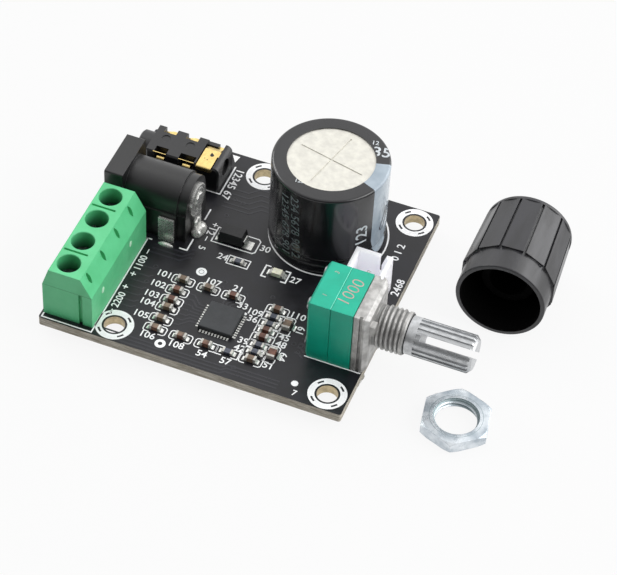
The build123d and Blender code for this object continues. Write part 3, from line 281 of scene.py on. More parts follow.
def knob_paint():
    """Glossy black moulding with faint streaks of painted sheen, which are also glossier, and matt with
    near-black painted shade in its hollow.
    """
    paint = Paint("knob_black")
    mouth = [c * MM for c in KNOB_MOUTH]
    arm = paint.node("VectorMath", {0: paint.place, 1: mouth}, operation="SUBTRACT").outputs[0]
    along = paint.node("VectorMath", {0: arm, 1: KNOB_AXIS}, operation="DOT_PRODUCT").outputs["Value"]
    reach = paint.node("VectorMath", {0: arm}, operation="LENGTH").outputs["Value"]
    reach_squared = paint.math("MULTIPLY", reach, reach)
    along_squared = paint.math("MULTIPLY", along, along)
    aside = paint.math("SQRT", paint.math("SUBTRACT", reach_squared, along_squared))
    # Painted shade: the hollow is coloured near black.
    shaded_hollow = paint.math("LESS_THAN", aside, KNOB_HOLLOW * MM)
    shaded_hollow = paint.math("MULTIPLY", shaded_hollow, paint.math("LESS_THAN", along, KNOB_DEPTH * MM))
    # Streaks whose lighter colour is a painted sheen, and which are also glossier.
    streaks = paint.patches(0.25, 4.0, stretch=(1.6, 0.25, 1.6))
    skin = paint.mix(streaks, linear(22, 22, 25), linear(38, 38, 43))
    paint.set(Base_Color=paint.mix(shaded_hollow, skin, linear(5, 5, 5)))
    outside = paint.span(streaks, 0.0, 1.0, 0.42, 0.28)
    paint.set(Roughness=paint.math("MULTIPLY_ADD", shaded_hollow, 0.5, outside))
    paint.set(Specular_IOR_Level=paint.math("MULTIPLY_ADD", shaded_hollow, -0.62, 0.7))
    paint.round_edges(0.18)
    return paint.bump(paint.noise(5), 0.012)


def land_paint():
    """Bright tin at the board, dull where each land climbs the side of its chip."""
    paint = Paint("land_tin")
    height = paint.axes()[2]
    rise = paint.span(height, (BOARD_TOP + 0.1) * MM, (BOARD_TOP + 0.16) * MM)
    bright = paint.mix(paint.patches(1.8, 3.0), linear(214, 214, 210), linear(240, 240, 236))
    paint.set(Base_Color=paint.mix(rise, bright, linear(30, 30, 32)))
    paint.set(Metallic=paint.math("MULTIPLY_ADD", rise, -0.5, 0.5))
    paint.set(Roughness=paint.patches(4.0, 2.0, 0.35, 0.5, WIDE_EDGES))
    return paint.bump(paint.noise(5), 0.02)


# The radius of a screw well with its rim, and the heights between which its painted shade deepens
WELL_REACH, WELL_TOP, WELL_FLOOR = 1.95, 11.4, 8.4


def housing_paint():
    """Satin green moulding, with painted shade down the four screw wells."""
    paint = Paint("moulded_green")
    green = paint.mix(paint.patches(0.25, 3.0), linear(86, 190, 130), linear(96, 200, 141))
    wells = 0.0
    for n in TERMINAL_WAYS:
        box = nodes[f"terminal_screw_{n}"].bound_box
        centre = [sum(corner[i] for corner in box) / 8 / MM for i in range(3)]
        inside = paint.math("LESS_THAN", paint.off_axis(2, centre), WELL_REACH * MM)
        wells = paint.math("MAXIMUM", wells, inside)
    # Painted shade, deepening towards the floor of each well.
    depth = paint.span(paint.axes()[2], WELL_TOP * MM, WELL_FLOOR * MM, 0.1, 0.75)
    paint.set(Base_Color=paint.mix(paint.math("MULTIPLY", wells, depth), green, linear(18, 62, 38)))
    paint.set(Roughness=paint.patches(1.2, 2.0, 0.36, 0.46, WIDE_EDGES))
    paint.round_edges(0.12)
    return paint.bump(paint.noise(9), 0.006)


dress(housing_paint(), "terminal_housing")
dress(ceramic_paint(), "chip_capacitors")
dress(land_paint(), "chip_lands")
dress(knob_paint(), "volume_knob")


def board_paint():
    """Dark mask on the faces, bare woven laminate on the sawn edges."""
    paint = Paint("board_mask")
    mottle = paint.noise(0.35, 4.0)
    mask = paint.mix(paint.span(mottle, 0.3, 0.7), linear(14, 14, 19), linear(24, 24, 31))
    plies = paint.patches(0.5, 4.0, edges=(0.35, 0.65), stretch=(1, 1, 14))
    fibre = paint.patches(3.0, 2.0, 0.0, 0.5, (0.5, 0.8), stretch=(1, 1, 6))
    edge = paint.mix(plies, linear(150, 142, 126), linear(206, 200, 188))
    edge = paint.mix(fibre, edge, linear(120, 112, 98))
    facing = paint.node("NewGeometry").outputs["True Normal"]
    up = paint.node("SeparateXYZ", {"Vector": facing}).outputs[2]
    side = paint.math("LESS_THAN", paint.math("ABSOLUTE", up), 0.5)
    paint.set(Base_Color=paint.mix(side, mask, edge))
    paint.set(Roughness=paint.math("MULTIPLY_ADD", side, 0.35, paint.span(mottle, 0.2, 0.8, 0.3, 0.42)))
    return paint.bump(paint.noise(7), 0.006)


dress(board_paint(), "circuit_board")

# The capacitor's axis, and its stripe: where it faces, half its width, its soft edge and its tip
CAN_X, CAN_Y = 22.69, 31.28
STRIPE_TURN, STRIPE_HALF, STRIPE_SOFT = (math.radians(angle) for angle in (-3.8, 19.5, 0.2))
TIP_HEIGHT, TIP_RISE = 2.4, 4.2


def can_paint():
    """Drawn aluminium, matt and faintly mottled."""
    paint = Paint("can_aluminium")
    tone = paint.patches(0.8, 5.0)
    paint.set(Base_Color=paint.mix(tone, linear(209, 207, 199), linear(224, 222, 213)), Metallic=0.7)
    paint.set(Roughness=paint.patches(1.2, 3.0, 0.42, 0.6))
    return paint.bump(paint.noise(4.0, 4.0), 0.01)


def sleeve_paint():
    """Shrunk film with its pale stripe, which ends in a rounded point near the board."""
    paint = Paint("sleeve_film")
    x, y, z = paint.axes()
    gap_x = paint.math("SUBTRACT", x, CAN_X * MM)
    gap_y = paint.math("SUBTRACT", y, CAN_Y * MM)
    turn = paint.math("ARCTAN2", gap_y, gap_x)
    aside = paint.math("ABSOLUTE", paint.math("SUBTRACT", turn, STRIPE_TURN))
    rise = paint.math("POWER", paint.math("DIVIDE", aside, STRIPE_HALF), 3.0)
    tip = paint.math("MULTIPLY_ADD", rise, TIP_RISE * MM, TIP_HEIGHT * MM)
    wide = paint.span(aside, STRIPE_HALF - STRIPE_SOFT, STRIPE_HALF + STRIPE_SOFT, 1.0, 0.0)
    above = paint.math("GREATER_THAN", z, tip)
    stripe = paint.math("MULTIPLY", wide, above)
    film = paint.mix(paint.patches(0.3, 3.0), linear(12, 12, 15), linear(22, 22, 26))
    pale = paint.mix(paint.patches(0.4, 3.0), linear(143, 157, 169), linear(161, 174, 185))
    paint.set(Base_Color=paint.mix(stripe, film, pale), Coat_Weight=0.5, Coat_Roughness=0.12)
    paint.set(Roughness=paint.patches(0.8, 2.0, 0.23, 0.27))
    return paint.bump(paint.noise(0.25, 2.0, (1, 1, 0.4)), 0.01)


def lamp_paint():
    """Clear casting over a pale phosphor, which lets a little light through."""
    paint = finish("lamp_cast", linear(246, 244, 222), 0.22, vary=0.06, patch=1.6, edge=0.06)
    paint.set(Subsurface_Weight=0.2, Subsurface_Radius=(0.4 * MM, 0.4 * MM, 0.3 * MM))
    return paint.set(Transmission_Weight=0.08)


# The axes of the volume control and of the loose nut, both ends of the bushing, and their radii
POT_AXIS = (0.0, 10.44, 8.2)
NUT_AXIS = (53.8, 4.75, 0.0)
BUSHING_X, BUSHING_END = 38.59, 43.59
SPLINE_ROOT, SPLINE_CREST = 2.7, 3.0
BUSHING_ROOT, BUSHING_CREST = 3.18, 3.5
NUT_CREST, NUT_ROOT = 3.2, 3.52
NUT_RING, NUT_RING_HALF = 4.08, 0.07


def shaft_paint():
    """Metal with fine lathe lines and a few scuffs, with painted shade below the crests of its splines.
    """
    paint = Paint("turned_shaft")
    metal = linear(206, 208, 210)
    lines = paint.noise(1.0, 3.0, (9, 1, 1))
    scuffed = paint.mix(paint.patches(0.9, 4.0), tinged(metal, 0.72), metal)
    # Painted shade: darker metal below the crests of the splines.
    crest = paint.crests(0, POT_AXIS, SPLINE_ROOT, SPLINE_CREST)
    paint.set(Base_Color=paint.mix(crest, tinged(metal, 0.86), scuffed), Metallic=0.75)
    paint.set(Roughness=paint.span(lines, 0.3, 0.7, 0.272, 0.442))
    paint.round_edges(0.06)
    return paint.bump(lines, 0.02)


def nut_paint():
    """Bright plating in broad lighter and darker patches of painted reflection, with a dull grey ring
    just outside its mouth and painted shade between its threads.
    """
    paint = Paint("bright_zinc")
    radius = paint.off_axis(2, NUT_AXIS)
    # Broad lighter and darker patches in the plating: painted reflection.
    tone = paint.patches(0.24, 3.0, edges=(0.36, 0.64))
    metal = paint.mix(tone, linear(176, 187, 196), linear(236, 242, 247))
    # Painted shade in the grooves between the thread's crests, which are also less metallic.
    below_crest = paint.span(radius, (NUT_CREST + 0.02) * MM, (NUT_CREST + 0.2) * MM)
    thread = paint.math("LESS_THAN", radius, (NUT_ROOT + 0.05) * MM)
    shaded_hollow = paint.math("MULTIPLY", below_crest, thread)
    grey_ring = paint.math("COMPARE", radius, NUT_RING * MM, NUT_RING_HALF * MM)
    dull = paint.math("MAXIMUM", shaded_hollow, paint.math("MULTIPLY", grey_ring, 0.6))
    paint.set(Base_Color=paint.mix(dull, metal, linear(150, 166, 170)))
    paint.set(Metallic=paint.math("MULTIPLY_ADD", shaded_hollow, -0.55, 0.8))
    paint.set(Roughness=paint.patches(0.8, 3.0, 0.26, 0.4))
    paint.round_edges(0.12)
    return paint.bump(paint.noise(0.5), 0.03)


def cast_paint():
    """Grainy cast metal, with painted shade in the grooves of its bushing's thread."""
    paint = Paint("cast_zinc")
    tone = paint.patches(0.7, 5.0)
    crest = paint.crests(0, POT_AXIS, BUSHING_ROOT, BUSHING_CREST)
    frame_side = paint.math("LESS_THAN", paint.axes()[0], (BUSHING_X + 0.1) * MM)
    # Painted shade: darker metal in the thread's grooves, away from the crests and the frame.
    unshaded = paint.math("MAXIMUM", crest, frame_side)
    metal = paint.mix(tone, linear(158, 157, 155), linear(200, 199, 197))
    paint.set(Base_Color=paint.mix(unshaded, linear(150, 150, 149), metal), Metallic=0.72)
    paint.set(Roughness=paint.patches(1.8, 3.0, 0.4, 0.6))
    paint.round_edges(0.1)
    return paint.bump(paint.noise(3.0, 3.0), 0.05)


cast_metal = cast_paint()
zinc = nut_paint()
dress(can_paint(), "capacitor_can")
dress(sleeve_paint(), "capacitor_sleeve")
dress(lamp_paint(), "indicator_lamp")
dress(shaft_paint(), "pot_shaft")
dress(cast_metal, "pot_frame")
dress(zinc, "panel_nut")


# Helpers for pieces
def piece(name, bm, paint, body="board", smooth=None):
    mesh = bpy.data.meshes.new(name)
    bm.normal_update()
    bm.to_mesh(mesh)
    bm.free()
    made = bpy.data.objects.new(name, mesh)
    bpy.context.scene.collection.objects.link(made)
    mesh.materials.append(paint.material)
    if smooth is not None:
        mesh.shade_smooth()
        mesh.set_sharp_from_angle(angle=math.radians(smooth))
    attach(made, body)
    return made


def join(bm, part):
    """Adds the faces of one mesh under edit to another, and lets the first go."""
    mesh = bpy.data.meshes.new("part")
    part.to_mesh(mesh)
    part.free()
    bm.from_mesh(mesh)
    bpy.data.meshes.remove(mesh)


def plate(bm, outline, low, high):
    """A flat plate with this outline, a list of (x, y) in millimetres from the board's centre."""
    rings = [[bm.verts.new(at(x, y, z)) for x, y in outline] for z in (low, high)]
    bm.faces.new(rings[1])
    for i in range(len(outline)):
        j = (i + 1) % len(outline)
        bm.faces.new((rings[0][i], rings[0][j], rings[1][j], rings[1][i]))


def band(bm, points, width, low, high, closed=False):
    """A line of this width along the points, mitred at its corners."""
    count = len(points)
    sides = ([], [])
    for i, (x, y) in enumerate(points):
        before = points[i - 1] if i or closed else None
        after = points[(i + 1) % count] if i < count - 1 or closed else None
        d1 = Vector((x - before[0], y - before[1])).normalized() if before else None
        d2 = Vector((after[0] - x, after[1] - y)).normalized() if after else None
        d1, d2 = d1 or d2, d2 or d1
        across = Vector((-(d1 + d2).y, (d1 + d2).x)).normalized()
        reach = width / 2 / max(0.3, across.dot(Vector((-d1.y, d1.x))))
        sides[0].append((x + across.x * reach, y + across.y * reach))
        sides[1].append((x - across.x * reach, y - across.y * reach))
    rows = [[bm.verts.new(at(px, py, z)) for px, py in side] for side in sides for z in (low, high)]
    l_low, l_high, r_low, r_high = rows
    for i in range(count if closed else count - 1):
        j = (i + 1) % count
        bm.faces.new((r_high[i], r_high[j], l_high[j], l_high[i]))
        bm.faces.new((l_low[i], l_high[i], l_high[j], l_low[j]))
        bm.faces.new((r_low[j], r_high[j], r_high[i], r_low[i]))
    if not closed:
        bm.faces.new((l_low[0], r_low[0], r_high[0], l_high[0]))
        bm.faces.new((r_low[-1], l_low[-1], l_high[-1], r_high[-1]))


def arc(x, y, radius, start, end, steps=24):
    return [
        (x + radius * math.cos(math.radians(a)), y + radius * math.sin(math.radians(a)))
        for a in (start + (end - start) * i / steps for i in range(steps + 1))
    ]


def circle(x, y, radius, steps=36):
    return arc(x, y, radius, 0, 360, steps)[:-1]


def words(bm, text, x, y, size, turn, low, high, weight=0.012):
    """Plain figures and signs laid flat on the board."""
    curve = bpy.data.curves.new("figures", "FONT")
    curve.body, curve.size, curve.resolution_u = text, size * MM, 3
    curve.align_x = curve.align_y = "CENTER"
    curve.extrude = (high - low) / 2 * MM
    curve.offset = weight * size * MM
    holder = bpy.data.objects.new("figures", curve)
    bpy.context.scene.collection.objects.link(holder)
    mesh = bpy.data.meshes.new_from_object(holder.evaluated_get(bpy.context.evaluated_depsgraph_get()))
    turned = Matrix.Rotation(math.radians(turn), 4, "Z")
    mesh.transform(Matrix.Translation(at(x, y, (low + high) / 2)) @ turned)
    bm.from_mesh(mesh)
    bpy.data.objects.remove(holder)
    bpy.data.curves.remove(curve)
    bpy.data.meshes.remove(mesh)


def revolve(bm, axis, centre, profile, steps=48):
    """A skin turned round the axis from points (along, radius), in millimetres in the part's frame."""
    aside = [i for i in range(3) if i != axis]
    rows = []
    for along, radius in profile:
        row = []
        for k in range(steps):
            co = Vector((0, 0, 0))
            co[axis] = along
            co[aside[0]] = centre[aside[0]] + radius * math.cos(2 * math.pi * k / steps)
            co[aside[1]] = centre[aside[1]] + radius * math.sin(2 * math.pi * k / steps)
            row.append(bm.verts.new(co * MM))
        rows.append(row)
    for first, second in zip(rows, rows[1:]):
        for k in range(steps):
            j = (k + 1) % steps
            bm.faces.new((first[k], first[j], second[j], second[k]))


def solids_of(node):
    """The box of each solid in a CAD node, in millimetres from the board's centre, left to right."""
    mesh = nodes[node].data
    owner = {}

    def find(key):
        while owner.setdefault(key, key) != key:
            key = owner[key]
        return key

    keys = [tuple(round(c * 1e6) for c in v.co) for v in mesh.vertices]
    for polygon in mesh.polygons:
        first = find(keys[polygon.vertices[0]])
        for index in polygon.vertices[1:]:
            owner[find(keys[index])] = first
    groups = {}
    for key in set(keys):
        groups.setdefault(find(key), []).append(key)
    boxes = []
    for points in groups.values():
        low = [min(p[i] for p in points) / 1000 for i in range(3)]
        high = [max(p[i] for p in points) / 1000 for i in range(3)]
        shift = (BOARD_X, BOARD_Y, BOARD_TOP)
        boxes.append(([a - b for a, b in zip(low, shift)], [a - b for a, b in zip(high, shift)]))
    return sorted(boxes, key=lambda b: (round(b[0][0], 1), -round(b[0][1], 1)))


# Silk print
SILK_LOW, SILK_HIGH = 0.0, 0.03
silk_paint = finish("silk_print", linear(246, 247, 248), 0.55, vary=0.05, patch=1.5, grain=(8, 0.01))
silk = bmesh.new()


def line(points, width=0.2, closed=False):
    band(silk, points, width, SILK_LOW, SILK_HIGH, closed)


def rectangle(x0, y0, x1, y1):
    return [(x0, y0), (x1, y0), (x1, y1), (x0, y1)]


def blot(outline):
    plate(silk, outline, SILK_LOW, SILK_HIGH)


# Two rings round each screw hole, with the gap between them filled in four stretches
HOLES = [(-13.40, -19.35), (21.45, -19.35), (21.45, 19.35), (-4.30, 19.35)]
RING_RADII, RING_WIDTH = (2.14, 2.83), 0.36
FILL_RADIUS, FILL_WIDTH, FILL_HALF = 2.485, 0.35, 33
for hx, hy in HOLES:
    for middle in (90, 180, 270, 360):
        for radius in RING_RADII:
            line(arc(hx, hy, radius, middle - 90, middle, 16), RING_WIDTH)
        line(arc(hx, hy, FILL_RADIUS, middle - FILL_HALF, middle + FILL_HALF, 10), FILL_WIDTH)

# Outlines of the terminal block, the power socket and the audio socket, and a wedge beside the last
line(rectangle(-24.3, -22.15, -16.03, -0.62), 0.22, True)
line([(-9.4, 9.1), (-9.4, 6.6)], 0.25)
line([(-9.4, 2.0), (-9.4, -0.65), (-10.7, -0.65)], 0.25)
line([(-15.3, -0.65), (-16.7, -0.65)], 0.25)
line([(-9.4, 19.5), (-9.4, 12.8), (-12.0, 12.8)], 0.25)
blot([(-10.9, 21.9), (-9.6, 21.9), (-9.9, 20.4)])

# Outlines of the large capacitor, the diode, the resistor next to it and the lamp
line(circle(CAN_X - BOARD_X + 0.35, CAN_Y - BOARD_Y, 9.5, 72), 0.25, True)
line([(-6.7, 2.75), (0.2, 2.75), (0.6, 3.15), (0.6, 5.6), (0.2, 6.0), (-6.7, 6.0)], 0.2, True)
line(rectangle(-2.75, -0.65, 0.75, 1.1), 0.18, True)
LAMP_X, MARK_NEAR, MARK_FAR = 5.3, 1.2, 2.03
for side in (-1, 1):
    near, far = LAMP_X + side * MARK_NEAR, LAMP_X + side * MARK_FAR
    line([(near, 1.4), (far, 1.4), (far, -1.0), (near, -1.0)], 0.25)

# A line in front of the volume control, and round marks
line([(15.5, -13.7), (24.6, -13.7)], 0.2)
blot(circle(4.1, -9.4, 0.28, 16))
blot(circle(-5.5, -3.95, 0.85))
blot(circle(16.2, -19.4, 0.55))
line(circle(-5.5, -20.1, 0.6), 0.5, True)


# A chip deeper than this stands across the board, and resistors behind this line have no brackets
LEVEL_CHIP_DEPTH, BRACKETS_END = 0.9, -1


def brackets(low, high, rounded):
    """The two open brackets printed round a chip, which turn with it."""
    x, y = (low[0] + high[0]) / 2, (low[1] + high[1]) / 2
    turned = high[1] - low[1] > LEVEL_CHIP_DEPTH
    if rounded:
        corners = arc(1.35, 0.4, 0.45, 90, 0, 5) + arc(1.35, -0.4, 0.45, 0, -90, 5)
    else:
        corners = [(1.8, 0.85), (1.8, -0.85)]
    for side in (-1, 1):
        shape = [(side * a, b) for a, b in [(0.75, 0.85)] + corners + [(0.75, -0.85)]]
        line([(x - b, y + a) if turned else (x + a, y + b) for a, b in shape], 0.17)


for low, high in solids_of("chip_capacitors"):
    brackets(low, high, True)
for low, high in solids_of("chip_resistors"):
    if high[1] < BRACKETS_END:
        brackets(low, high, False)

# Figures: what they say, their middle, their height and their turn in degrees
LABEL_SIZE = 1.75
THREE_FIGURES = [
    (-10.6, -6.7), (-10.7, -9.0), (-10.75, -11.3), (-10.7, -13.1), (-10.6, -15.75), (-8.0, -19.3),
    (-3.0, -5.3), (-3.2, -19.4), (5.33, -8.55), (11.7, -6.7),
]
TWO_FIGURES = [
    (1.1, -5.1), (-3.7, 0.28), (8.6, 0.06), (1.8, 4.45), (3.14, -8.05), (5.49, -9.95), (5.86, -14.63),
    (5.93, -16.23), (11.43, -11.56), (11.47, -13.08), (11.23, -17.77), (1.08, -19.55), (4.92, -19.49),
]
LABELS = [(str(101 + k), x, y, LABEL_SIZE, 0) for k, (x, y) in enumerate(THREE_FIGURES)]
LABELS += [(str(21 + 3 * k), x, y, LABEL_SIZE, 0) for k, (x, y) in enumerate(TWO_FIGURES)]
LABELS += [
    ("61", 13.09, -9.29, LABEL_SIZE, -90), ("64", 12.51, -15.26, LABEL_SIZE, -90),
    ("+", -15.0, -8.55, 1.8, 90), ("1100", -14.9, -6.0, 1.65, 90), ("–", -14.95, -3.3, 1.8, 90),
    ("+", -15.0, -11.5, 1.8, 90), ("2200", -14.9, -14.4, 1.65, 90), ("–", -15.1, -17.0, 1.8, 90),
    ("12345 67", -8.4, 15.7, 1.9, -90), ("+12 –", -7.5, 4.6, 1.8, -90), ("5", -7.5, 0.8, 1.6, -90),
    ("2468", 23.85, 5.1, 1.8, 90), ("0 1 2", 21.3, 12.2, 1.8, 90), ("7", 16.8, -21.2, 1.5, 0),
]
for text, x, y, size, turn in LABELS:
    words(silk, text, x, y, size, turn, SILK_LOW, SILK_HIGH)
piece("silk_lines", silk, silk_paint)

# Plating on the walls of the screw holes
PLATING_RADIUS = 1.64
plated_paint = finish(
    "plated_wall", linear(190, 174, 140), 0.35, 0.8, vary=0.2, patch=1.2, grain=(4, 0.02)
)
plating = bmesh.new()
for hx, hy in HOLES:
    wall = [(0.02, PLATING_RADIUS), (BOARD_TOP, PLATING_RADIUS)]
    revolve(plating, 2, (hx + BOARD_X, hy + BOARD_Y, 0), wall)
piece("hole_plating", plating, plated_paint, smooth=40)

# Copper under the mask, seen as faint ribs, and the small plated holes, whose openings are dark discs of
# painted shade
trace_paint = finish("masked_copper", linear(41, 41, 47), 0.3, vary=0.06, patch=0.6, grain=(7, 0.006))
traces = bmesh.new()
TRACE_HIGH = 0.02


def trace(points, width=0.25):
    band(traces, points, width, 0, TRACE_HIGH)


def jogged(start, bend, bend_end, end, near, far, width=0.25):
    """A trace that runs along X at near, shifts over between its two bends, and runs on at far."""
    trace([(start, near), (bend, near), (bend_end, far), (end, far)], width)


TOP_ROW, HALF_TURN = 14.8, math.tan(math.radians(22.5))
for y in (TOP_ROW, 13.7, 12.6, 11.5, 10.6):
    corner = -5.2 + (TOP_ROW - y) * HALF_TURN
    jogged(-8.2, corner, corner + 1.5, corner + 4.4, y, y + 1.5, 0.3)
for y in (-5.9, -7.7, -9.2, -10.5, -12.0, -13.4, -14.6):
    jogged(-15.0, -12.6, -12.2, -12.0, y - 0.4, y)
for k in range(7):
    near, far = -8.9 - 1.1 * k, -10.4 - 0.62 * k
    corner = -3.9 - 0.2 * abs(k - 3)
    jogged(-5.3, corner, corner + abs(near - far), -1.7, near, far)
for k in range(3):
    across, level = 0.1 + 0.6 * k, -6.8 - 0.25 * k
    trace([(across, -9.3), (across, level - 1.4), (across + 1.4, level), (3.4, level)])
for k in range(4):
    jogged(4.2, 4.5, 4.9, 5.2, -13.2 - 0.5 * k, -13.6 - 0.5 * k)
    jogged(13.9, 14.6, 15.2, 15.4, -10.6 - k, -11.2 - k)
for y in (-20.6, -21.3, -22.0):
    jogged(-14.8, 5.0, 5.6, 14.0, y, y + 0.6, 0.3)
for y in (-1.3, -2.2, -3.1):
    jogged(-14.6, -9.6, -8.4, -8.0, y, y + 1.2, 0.35)
piece("mask_ribs", traces, trace_paint)
VIAS = [
    (-12.5, -5.7), (-12.5, -9.2), (6.7, -4.5), (6.6, -20.1), (2.7, -5.8), (-1.3, -4.5),
    (-1.3, -5.8), (13.2, -12.1), (14.3, -12.1), (14.4, -13.5), (-5.2, 12.4), (-6.7, 12.7), (-6.6, 8.9),
]
# Painted shade for holes and gaps, which are only dark because light does not reach into them.
hole_shade_paint = finish("painted_hole_shade", linear(20, 20, 22), 0.5, vary=0.2, patch=2.0)
VIA_RING, VIA_RING_WIDTH, VIA_HOLE = 0.32, 0.16, 0.22
rings, dots = bmesh.new(), bmesh.new()
for vx, vy in VIAS:
    band(rings, circle(vx, vy, VIA_RING, 20), VIA_RING_WIDTH, 0, 0.025, True)
    plate(dots, circle(vx, vy, VIA_HOLE, 16), 0, 0.012)
band(rings, circle(-5.5, -3.95, 0.4, 20), 0.07, 0, 0.034, True)
piece("via_rings", rings, trace_paint)
piece("via_holes", dots, hole_shade_paint)

# Solder on the small parts and on the lugs of the power socket
solder_paint = finish(
    "bright_solder", linear(224, 224, 220), 0.25, 0.6,
    vary=0.2, patch=1.8, rough_vary=0.3, grain=(5, 0.03),
)
solder = bmesh.new()
FILLET_FOOT = 0.03


def wedge(x, y, along, width, reach, rise):
    """A hollow fillet of solder that falls away from x, y in the direction given."""
    dx, dy = along
    slope = [(0.0, rise), (0.18 * reach, 0.55 * rise), (0.5 * reach, 0.22 * rise), (reach, FILLET_FOOT)]
    rows = []
    for aside in (-width / 2, width / 2):
        row = []
        for out, up in slope + [(reach, 0.0), (0.0, 0.0)]:
            row.append(solder.verts.new(at(x + dx * out - dy * aside, y + dy * out + dx * aside, up)))
        rows.append(row)
    for i in range(4):
        solder.faces.new((rows[0][i], rows[1][i], rows[1][i + 1], rows[0][i + 1]))
    solder.faces.new(rows[0])
    solder.faces.new(rows[1][::-1])


def mound(bm, x, y, z, rx, ry, rz, rough=0.12):
    """A lump with an uneven skin."""
    lump = bmesh.new()
    bmesh.ops.create_icosphere(lump, subdivisions=3, radius=1.0)
    for v in lump.verts:
        swell = 1 + rough * noise.noise(v.co * 2.1 + Vector((x, y, 0)))
        v.co = at(x, y, z) + Vector((v.co.x * rx, v.co.y * ry, v.co.z * rz)) * swell * MM
    join(bm, lump)


# A fillet at both ends of each small chip, past the metal end that its solid hasn't got
END_CAP, FILLET_REACH, FILLET_WIDTH = 0.35, 0.5, 0.94
for kind, rise in (("chip_capacitors", 0.36), ("chip_resistors", 0.26), ("indicator_lamp", 0.36)):
    for low, high in solids_of(kind):
        cx, cy = (low[0] + high[0]) / 2, (low[1] + high[1]) / 2
        wide, deep = high[0] - low[0], high[1] - low[1]
        half = max(wide, deep) / 2 + END_CAP
        fillet = min(wide, deep) * FILLET_WIDTH
        for side in (-1, 1):
            dx, dy = (0, side) if deep > wide else (side, 0)
            wedge(cx + dx * half, cy + dy * half, (dx, dy), fillet, FILLET_REACH, rise)

# A fillet at each of the amplifier chip's lands, ten to a side, by its width, reach and rise
CHIP_X, CHIP_Y, LAND_OUT, LAND_PITCH = 1.3, -12.31, 2.83, 0.5
LAND_FILLET = (0.27, 0.46, 0.09)
for k in range(10):
    across = (k - 4.5) * LAND_PITCH
    for dx, dy in ((1, 0), (-1, 0), (0, 1), (0, -1)):
        x = CHIP_X + dx * LAND_OUT + abs(dy) * across
        y = CHIP_Y + dy * LAND_OUT + abs(dx) * across
        wedge(x, y, (dx, dy), *LAND_FILLET)

# The diode's lands, and the lugs of the power socket
plate(solder, rectangle(-1.75, 3.3, -0.15, 5.05), 0, 0.05)
plate(solder, rectangle(-6.3, 3.3, -5.0, 5.05), 0, 0.05)
wedge(-1.3, 4.15, (1, 0), 1.6, 0.8, 0.3)
mound(solder, -9.35, 4.1, 0.15, 1.15, 1.75, 1.0)
mound(solder, -9.9, 4.6, 0.9, 0.55, 1.2, 1.3, 0.2)
mound(solder, -12.9, -0.95, 0.05, 1.3, 0.42, 0.5)
piece("solder_fillets", solder, solder_paint, smooth=50)


# Threads of the bushing and the nut, each in a copy of its metal whose plain cylinder is cut back
RIDGE_SUNK, ON_SKIN = 0.04, 0.03
TAPER_STEPS, FOOT_HALF, TOP_HALF = 16, 0.35, 0.07


def threaded(node, axis, centre, core, new_core, start, end):
    """A copy of the node with the cylinder of radius core drawn to radius new_core, in millimetres."""
    bm = bmesh.new()
    bm.from_mesh(nodes[node].data)
    aside = [i for i in range(3) if i != axis]
    for v in bm.verts:
        arm = Vector([v.co[i] / MM - centre[i] for i in aside])
        if abs(arm.length - core) < ON_SKIN and start - 0.01 < v.co[axis] / MM < end + 0.01:
            for i, part in zip(aside, arm.normalized() * new_core):
                v.co[i] = (centre[i] + part) * MM
    return bm


def helix(bm, axis, centre, root, crest, start, end, pitch=0.75, steps=48):
    """A ridge wound round the axis, tapering out at both ends."""
    count = int((end - start) / pitch * steps)
    aside = [i for i in range(3) if i != axis]
    rows = []
    for k in range(count + 1):
        fade = min(1.0, k / TAPER_STEPS, (count - k) / TAPER_STEPS)
        top = root + (crest - root) * fade
        a = 2 * math.pi * k / steps
        row = []
        for shift, radius in ((-FOOT_HALF, root), (-TOP_HALF, top), (TOP_HALF, top), (FOOT_HALF, root)):
            co = Vector((0, 0, 0))
            co[axis] = start + k * pitch / steps + shift * (0.3 + 0.7 * fade)
            co[aside[0]] = centre[aside[0]] + radius * math.cos(a)
            co[aside[1]] = centre[aside[1]] + radius * math.sin(a)
            row.append(bm.verts.new(co * MM))
        rows.append(row)
    for first, second in zip(rows, rows[1:]):
        for i in range(3):
            bm.faces.new((first[i], first[i + 1], second[i + 1], second[i]))


def turned_rim(bm, axis, centre, end, profile):
    """A rim round the axis, whose points are given from this end of it."""
    revolve(bm, axis, centre, [(end + along, radius) for along, radius in profile])


COLLAR = ((-0.72, 3.16), (-0.6, 3.4), (-0.2, 3.4), (0.0, 3.2))
THREAD_START, THREAD_END = BUSHING_X + 0.55, BUSHING_END - 0.75
bushing = threaded("pot_frame", 0, POT_AXIS, BUSHING_CREST, BUSHING_ROOT, BUSHING_X, BUSHING_END)
helix(bushing, 0, POT_AXIS, BUSHING_ROOT - RIDGE_SUNK, BUSHING_CREST, THREAD_START, THREAD_END)
turned_rim(bushing, 0, POT_AXIS, BUSHING_END, COLLAR)
threaded_frame = piece("threaded_frame", bushing, cast_metal, smooth=35)
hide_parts("pot_frame")

NUT_THICKNESS = 2.0
NUT_TOP = FLOOR_Z + NUT_THICKNESS
NUT_MOUTH = ((0.0, 4.02), (0.03, 3.92), (-0.28, 3.4))
nut_mesh = threaded("panel_nut", 2, NUT_AXIS, NUT_CREST, NUT_ROOT, FLOOR_Z, NUT_TOP)
helix(nut_mesh, 2, NUT_AXIS, NUT_ROOT + RIDGE_SUNK, NUT_CREST, FLOOR_Z + 0.25, NUT_TOP - 0.2)
turned_rim(nut_mesh, 2, NUT_AXIS, NUT_TOP, NUT_MOUTH)
threaded_nut = piece("threaded_nut", nut_mesh, zinc, smooth=35)
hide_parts("panel_nut")


# Plain figures on the capacitor's sleeve and on the volume control
SLEEVE_OUTSIDE = 9.295
PRINT_DEPTH = 0.012
DRAPE_LIFT = 0.03


